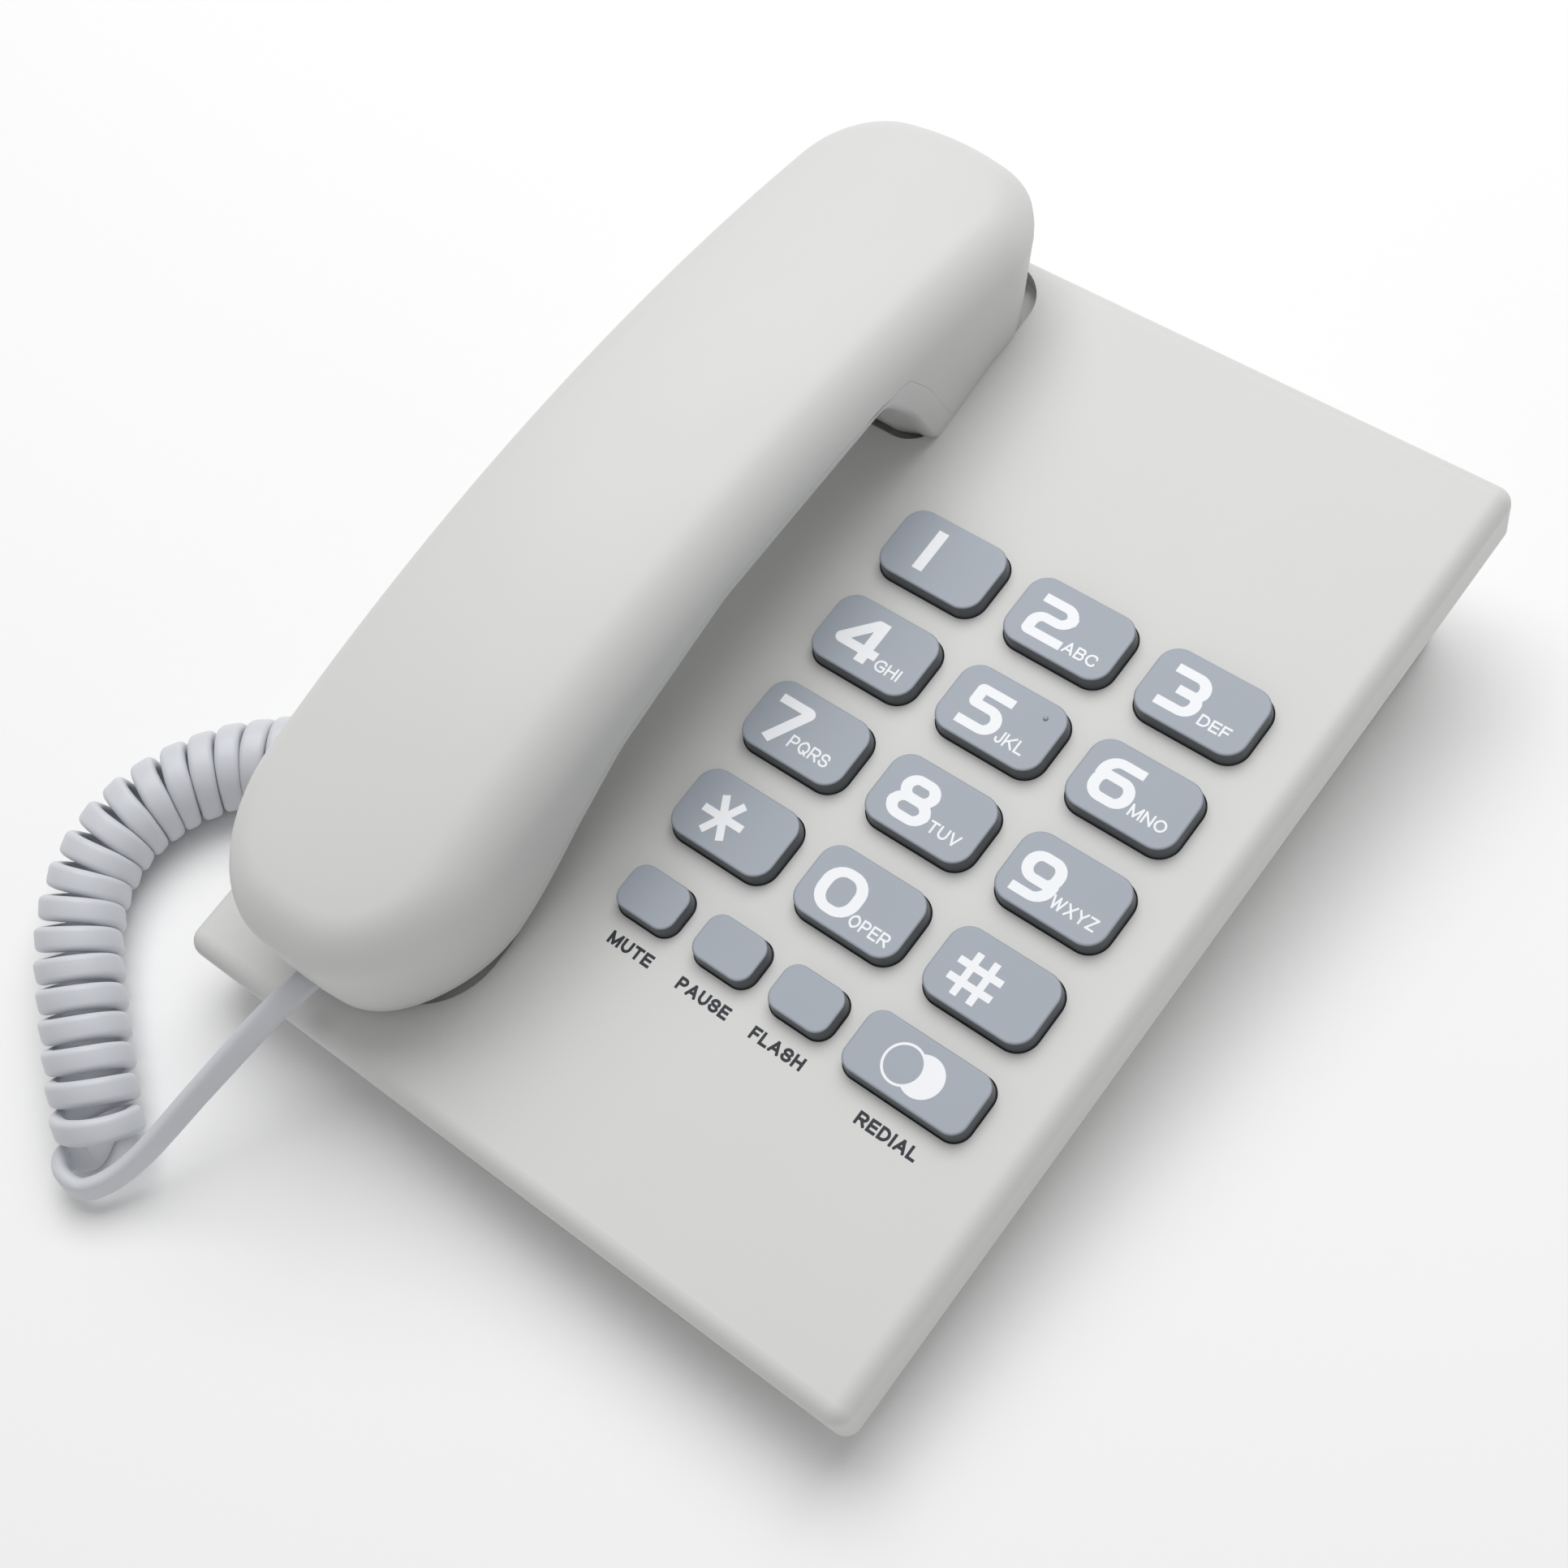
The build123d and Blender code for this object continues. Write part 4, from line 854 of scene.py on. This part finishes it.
def hash_outlines(w, h):
    """Two upright and two level bars."""
    x, y, grid_x, grid_y, field = blank(w, h, 0.3, 0.07)
    bars = []
    for share in (0.31, 0.69):
        bars.append(((w * share, 0), (w * share, h)))
        bars.append(((0, h * share), (w, h * share)))
    for bar in bars:
        field = np.minimum(field, stroke_field(grid_x, grid_y, np.array(bar), HASH_PEN / 2))
    return outlines(field + OFF_GRID, x, y)


def redial_outlines():
    """A thin ring with a full crescent behind it on its right."""
    grid = np.arange(-6.5, 6.5, 0.06)
    grid_x, grid_y = np.meshgrid(grid, grid)
    to_ring = np.hypot(grid_x + 2.4, grid_y + 0.2)
    ring = np.maximum(to_ring - 3.75, 3.3 - to_ring)
    moon = np.maximum(np.hypot(grid_x - 1.4, grid_y + 0.2) - 3.8, 3.5 - to_ring)
    return outlines(np.minimum(ring, moon) + OFF_GRID, grid, grid)


def plate_print(name, loops, offset, place, level, material, body):
    """A thin printed shape on a face parallel to the plate, as a solid, riding on a body."""
    curve = bpy.data.curves.new(name, "CURVE")
    curve.dimensions = "2D"
    curve.fill_mode = "BOTH"
    curve.extrude = (PRINT_LIFT + PRINT_SINK) / 2 * MM
    for loop in loops:
        spline = curve.splines.new("POLY")
        spline.points.add(len(loop) - 1)
        for point, (x, y) in zip(spline.points, loop):
            point.co = ((x + offset[0]) * MM, (y + offset[1]) * MM, 0, 1)
        spline.use_cyclic_u = True
    return finish_print(name, curve, place, level, material, body)


def finish_print(name, curve, place, level, material, body):
    """Turns a flat curve into a solid mesh on the plate and lets it ride on its body."""
    flat = bpy.data.objects.new(name + "_outline", curve)
    bpy.context.scene.collection.objects.link(flat)
    bpy.context.view_layer.update()
    mesh = bpy.data.meshes.new_from_object(flat.evaluated_get(bpy.context.evaluated_depsgraph_get()))
    bpy.data.objects.remove(flat)
    middle = (PRINT_LIFT - PRINT_SINK) / 2
    shift = Matrix.Translation(Vector((place[0], place[1], level + middle)) * MM)
    mesh.transform(PLATE @ shift)
    mend(mesh, 1e-6)
    mesh.materials.clear()
    mesh.materials.append(material)
    obj = bpy.data.objects.new(name, mesh)
    bpy.context.scene.collection.objects.link(obj)
    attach(obj, body)
    return obj


# each capital's width in cap heights, before the line is fitted to its box, and its strokes in a box
# from (0, 0) to (1, 1): corners as x, y and, where round, a radius in cap heights
BOWL = [(1, 1, 0.22), (1, 0.46, 0.22), (0, 0.46)]
RING = [(0.5, 0), (0, 0, 0.42), (0, 1, 0.42), (1, 1, 0.42), (1, 0, 0.42), (0.5, 0)]
STEM = [(0, 0), (0, 1)]
CAPITALS = {
    "A": (0.92, [[(0, 0), (0.5, 1)], [(0.5, 1), (1, 0)], [(0.2, 0.3), (0.8, 0.3)]]),
    "B": (0.82, [STEM, [(0, 1), (0.94, 1, 0.2), (0.94, 0.53, 0.2), (0, 0.53)],
                 [(0, 0.53), (1, 0.53, 0.22), (1, 0, 0.22), (0, 0)]]),
    "C": (0.9, [[(1, 0.78), (0.94, 1, 0.2), (0, 1, 0.42), (0, 0, 0.42), (0.94, 0, 0.2), (1, 0.22)]]),
    "D": (0.86, [STEM, [(0, 1), (1, 1, 0.4), (1, 0, 0.4), (0, 0)]]),
    "E": (0.76, [STEM, [(0, 1), (1, 1)], [(0, 0.52), (0.92, 0.52)], [(0, 0), (1, 0)]]),
    "F": (0.72, [STEM, [(0, 1), (1, 1)], [(0, 0.5), (0.86, 0.5)]]),
    "G": (0.94, [[(0.96, 0.8), (0.92, 1, 0.2), (0, 1, 0.42), (0, 0, 0.42), (1, 0, 0.2), (1, 0.45)],
                 [(1, 0.45), (0.55, 0.45)]]),
    "H": (0.84, [STEM, [(1, 0), (1, 1)], [(0, 0.53), (1, 0.53)]]),
    "I": (0.24, [[(0.5, 0), (0.5, 1)]]),
    "J": (0.6, [[(1, 1), (1, 0, 0.24), (0, 0, 0.24), (0, 0.3)]]),
    "K": (0.88, [STEM, [(0, 0.32), (1, 1)], [(0.36, 0.56), (1, 0)]]),
    "L": (0.7, [STEM, [(0, 0), (1, 0)]]),
    "M": (1.0, [STEM, [(0, 1), (0.5, 0.05)], [(0.5, 0.05), (1, 1)], [(1, 1), (1, 0)]]),
    "N": (0.84, [STEM, [(0, 1), (1, 0)], [(1, 0), (1, 1)]]),
    "O": (0.97, [RING]),
    "P": (0.8, [STEM, [(0, 1)] + BOWL]),
    "Q": (0.97, [RING, [(0.62, 0.26), (1, -0.04)]]),
    "R": (0.86, [STEM, [(0, 1)] + BOWL, [(0.5, 0.46), (1, 0)]]),
    "S": (0.82, [[(0.96, 0.72), (0.96, 1, 0.24), (0.02, 1, 0.24), (0.02, 0.53, 0.22), (1, 0.47, 0.22),
                  (1, 0, 0.24), (0, 0, 0.24), (0, 0.28)]]),
    "T": (0.8, [[(0, 1), (1, 1)], [(0.5, 1), (0.5, 0)]]),
    "U": (0.84, [[(0, 1), (0, 0, 0.34), (1, 0, 0.34), (1, 1)]]),
    "V": (0.88, [[(0, 1), (0.5, 0)], [(0.5, 0), (1, 1)]]),
    "W": (1.24, [[(0, 1), (0.27, 0)], [(0.27, 0), (0.5, 1)], [(0.5, 1), (0.73, 0)], [(0.73, 0), (1, 1)]]),
    "X": (0.88, [[(0, 0), (1, 1)], [(0, 1), (1, 0)]]),
    "Y": (0.88, [[(0, 1), (0.5, 0.45)], [(1, 1), (0.5, 0.45)], [(0.5, 0.5), (0.5, 0)]]),
    "Z": (0.8, [[(0, 1), (1, 1)], [(1, 1), (0, 0)], [(0, 0), (1, 0)]]),
}
LETTER_GAP = 0.13  # between two letters, in cap heights


def capital(letter, width, height, pen):
    """Outlines of a capital in a box of the given size."""
    x, y, grid_x, grid_y, field = blank(width, height, 0.06, 0.03)
    for stroke in CAPITALS[letter][1]:
        corners = []
        for u, v, *turn in stroke:
            place = (pen / 2 + u * (width - pen), pen / 2 + v * (height - pen))
            corners.append((*place, *(height * r for r in turn)))
        line = rounded(corners, 5)
        line[0] += unit(line[0] - line[1]) * pen / 2
        line[-1] += unit(line[-1] - line[-2]) * pen / 2
        field = np.minimum(field, stroke_field(grid_x, grid_y, line, pen / 2))
    rim = np.maximum(np.abs(grid_x - width / 2) - width / 2, np.abs(grid_y - height / 2) - height / 2)
    return outlines(np.maximum(field, rim) + OFF_GRID, x, y)


def words_outlines(words, box, pen):
    """Outlines of capitals set in a box of left, right, low and high, in millimetres."""
    left, right, low, high = box
    height = high - low
    widths = [CAPITALS[letter][0] for letter in words]
    scale = (right - left) / (sum(widths) + LETTER_GAP * (len(words) - 1))
    loops = []
    place = left
    for letter, width in zip(words, widths):
        for loop in capital(letter, width * scale, height, pen):
            loops.append([(x + place, y + low) for x, y in loop])
        place += (width + LETTER_GAP) * scale
    return loops


# legend boxes relative to a key's middle: left, right, low, high
DIGIT_BOXES = {
    "key_1": ("1", (-3.8, -1.7, -4.1, 4.4)),
    "key_2": ("2", (-7.3, 0.9, -4.6, 3.8)),
    "key_3": ("3", (-7.0, 0.6, -4.4, 4.1)),
    "key_4": ("4", (-7.1, 1.9, -4.3, 4.3)),
    "key_5": ("5", (-6.6, 1.1, -4.7, 3.8)),
    "key_6": ("6", (-7.7, 0.7, -4.3, 4.3)),
    "key_7": ("7", (-7.6, 0.2, -4.6, 4.1)),
    "key_8": ("8", (-7.4, 1.1, -4.7, 4.0)),
    "key_9": ("9", (-8.3, -0.4, -4.9, 3.8)),
    "key_0": ("0", (-7.9, 0.9, -4.8, 3.9)),
}
STAR_BOX = (-6.4, 2.1, -4.5, 3.4)
HASH_BOX = (-7.0, 1.6, -4.9, 3.4)
LETTER_BOXES = {
    "key_2": ("ABC", (1.3, 7.9, -4.4, -2.1)),
    "key_3": ("DEF", (1.4, 7.4, -4.1, -1.9)),
    "key_4": ("GHI", (2.4, 7.7, -4.1, -1.8)),
    "key_5": ("JKL", (1.4, 7.1, -4.4, -1.9)),
    "key_6": ("MNO", (1.1, 8.2, -3.8, -1.5)),
    "key_7": ("PQRS", (-1.4, 7.1, -3.9, -1.4)),
    "key_8": ("TUV", (1.6, 7.9, -3.9, -1.6)),
    "key_9": ("WXYZ", (-0.4, 8.5, -4.0, -1.6)),
    "key_0": ("OPER", (0.6, 8.6, -4.6, -2.2)),
}
PLATE_LABELS = {  # words, then x, y and width of the label, from the key's middle
    "key_mute": ("MUTE", 1.4, -9.0, 9.3),
    "key_pause": ("PAUSE", 0.6, -9.0, 11.0),
    "key_flash": ("FLASH", 0.1, -9.0, 10.9),
    "key_redial": ("REDIAL", 1.5, -10.7, 12.1),
}
LABEL_HEIGHT = 2.4
LABEL_PEN = 0.53
LETTER_PEN = 0.37


def key_body(key):
    bodies = frame["record"]["behaviour"]["bodies"]
    return next(body for body, members in bodies.items() if key in members)


def key_middle(key):
    low, high = plate_box(key)
    return ((low.x + high.x) / 2 / MM, (low.y + high.y) / 2 / MM), high.z / MM


def key_print(prefix, key, loops, offset=(0, 0)):
    """White print on a key's cap. All caps end at the level of the first key's."""
    place, _ = key_middle(key)
    _, top = key_middle("key_1")
    plate_print(prefix + key, loops, offset, place, top, KEY_PRINT, key_body(key))


def legends():
    """White print on the keys and dark labels on the plate."""
    for key, (name, box) in DIGIT_BOXES.items():
        size = (box[1] - box[0], box[3] - box[2])
        key_print("print_", key, glyph(digit_strokes(name, *size), size), (box[0], box[2]))
    for key, box, draw in (("key_star", STAR_BOX, star_outlines), ("key_hash", HASH_BOX, hash_outlines)):
        key_print("print_", key, draw(box[1] - box[0], box[3] - box[2]), (box[0], box[2]))
    key_print("print_", "key_redial", redial_outlines())
    for key, (words, box) in LETTER_BOXES.items():
        key_print("letters_", key, words_outlines(words, box, LETTER_PEN))
    for key, (words, dx, dy, width) in PLATE_LABELS.items():
        place, _ = key_middle(key)
        box = (dx - width / 2, dx + width / 2, dy - LABEL_HEIGHT / 2, dy + LABEL_HEIGHT / 2)
        loops = words_outlines(words, box, LABEL_PEN)
        plate_print("label_" + key, loops, (0, 0), place, 0, PLATE_PRINT, "base")


legends()

# ------------------------------------------------------------------ stage, light and camera

AIM = Vector((0.9 * MM, -17.0 * MM, 30.0 * MM))
CAMERA_PLACE = Vector((180.4 * MM, -153.9 * MM, 386.2 * MM))
CAMERA_ROLL = -16.2  # degrees
LENS = 57.22


def floor():
    bpy.ops.mesh.primitive_plane_add(size=6, location=(0, 0, DESK))
    plane = bpy.context.object
    plane.name = "floor"
    material, tree, shader = node_tree("floor_paper")
    place = tree.nodes.new("ShaderNodeTexCoord")
    clouds = noise(tree, place, 3.0, 3.0)
    tint = tinted(tree, clouds, (0.97, 0.97, 0.97), 0.004)
    tree.links.new(tint.outputs["Result"], shader.inputs["Base Color"])
    shader.inputs["Roughness"].default_value = 0.7
    shader.inputs["Specular IOR Level"].default_value = 0.1
    plane.data.materials.append(material)


def softbox(name, place, aim, size, power):
    data = bpy.data.lights.new(name, "AREA")
    data.shape = "RECTANGLE"
    data.size, data.size_y = size
    data.energy = power
    lamp = bpy.data.objects.new(name, data)
    lamp.location = place
    lamp.rotation_euler = (Vector(aim) - Vector(place)).to_track_quat("-Z", "Y").to_euler()
    bpy.context.scene.collection.objects.link(lamp)


def lights():
    softbox("key_light", (-0.24, 0.42, 1.08), (0, 0, 0), (1.2, 1.0), 11.0)
    world = bpy.data.worlds.new("studio")
    world.use_nodes = True
    background = world.node_tree.nodes["Background"]
    background.inputs["Color"].default_value = (1.0, 1.0, 1.0, 1)
    background.inputs["Strength"].default_value = 0.40
    bpy.context.scene.world = world
    bpy.context.scene.view_settings.view_transform = "Standard"


def camera():
    """The lens looks down on the phone from its front right, rolled clockwise."""
    data = bpy.data.cameras.new("camera")
    data.lens = LENS
    data.sensor_width = 36.0
    data.clip_start = 0.01
    view = bpy.data.objects.new("camera", data)
    turn = (AIM - CAMERA_PLACE).to_track_quat("-Z", "Y").to_matrix().to_4x4()
    roll = Matrix.Rotation(math.radians(CAMERA_ROLL), 4, "Z")
    view.matrix_world = Matrix.Translation(CAMERA_PLACE) @ turn @ roll
    bpy.context.scene.collection.objects.link(view)
    bpy.context.scene.camera = view


floor()
lights()
camera()
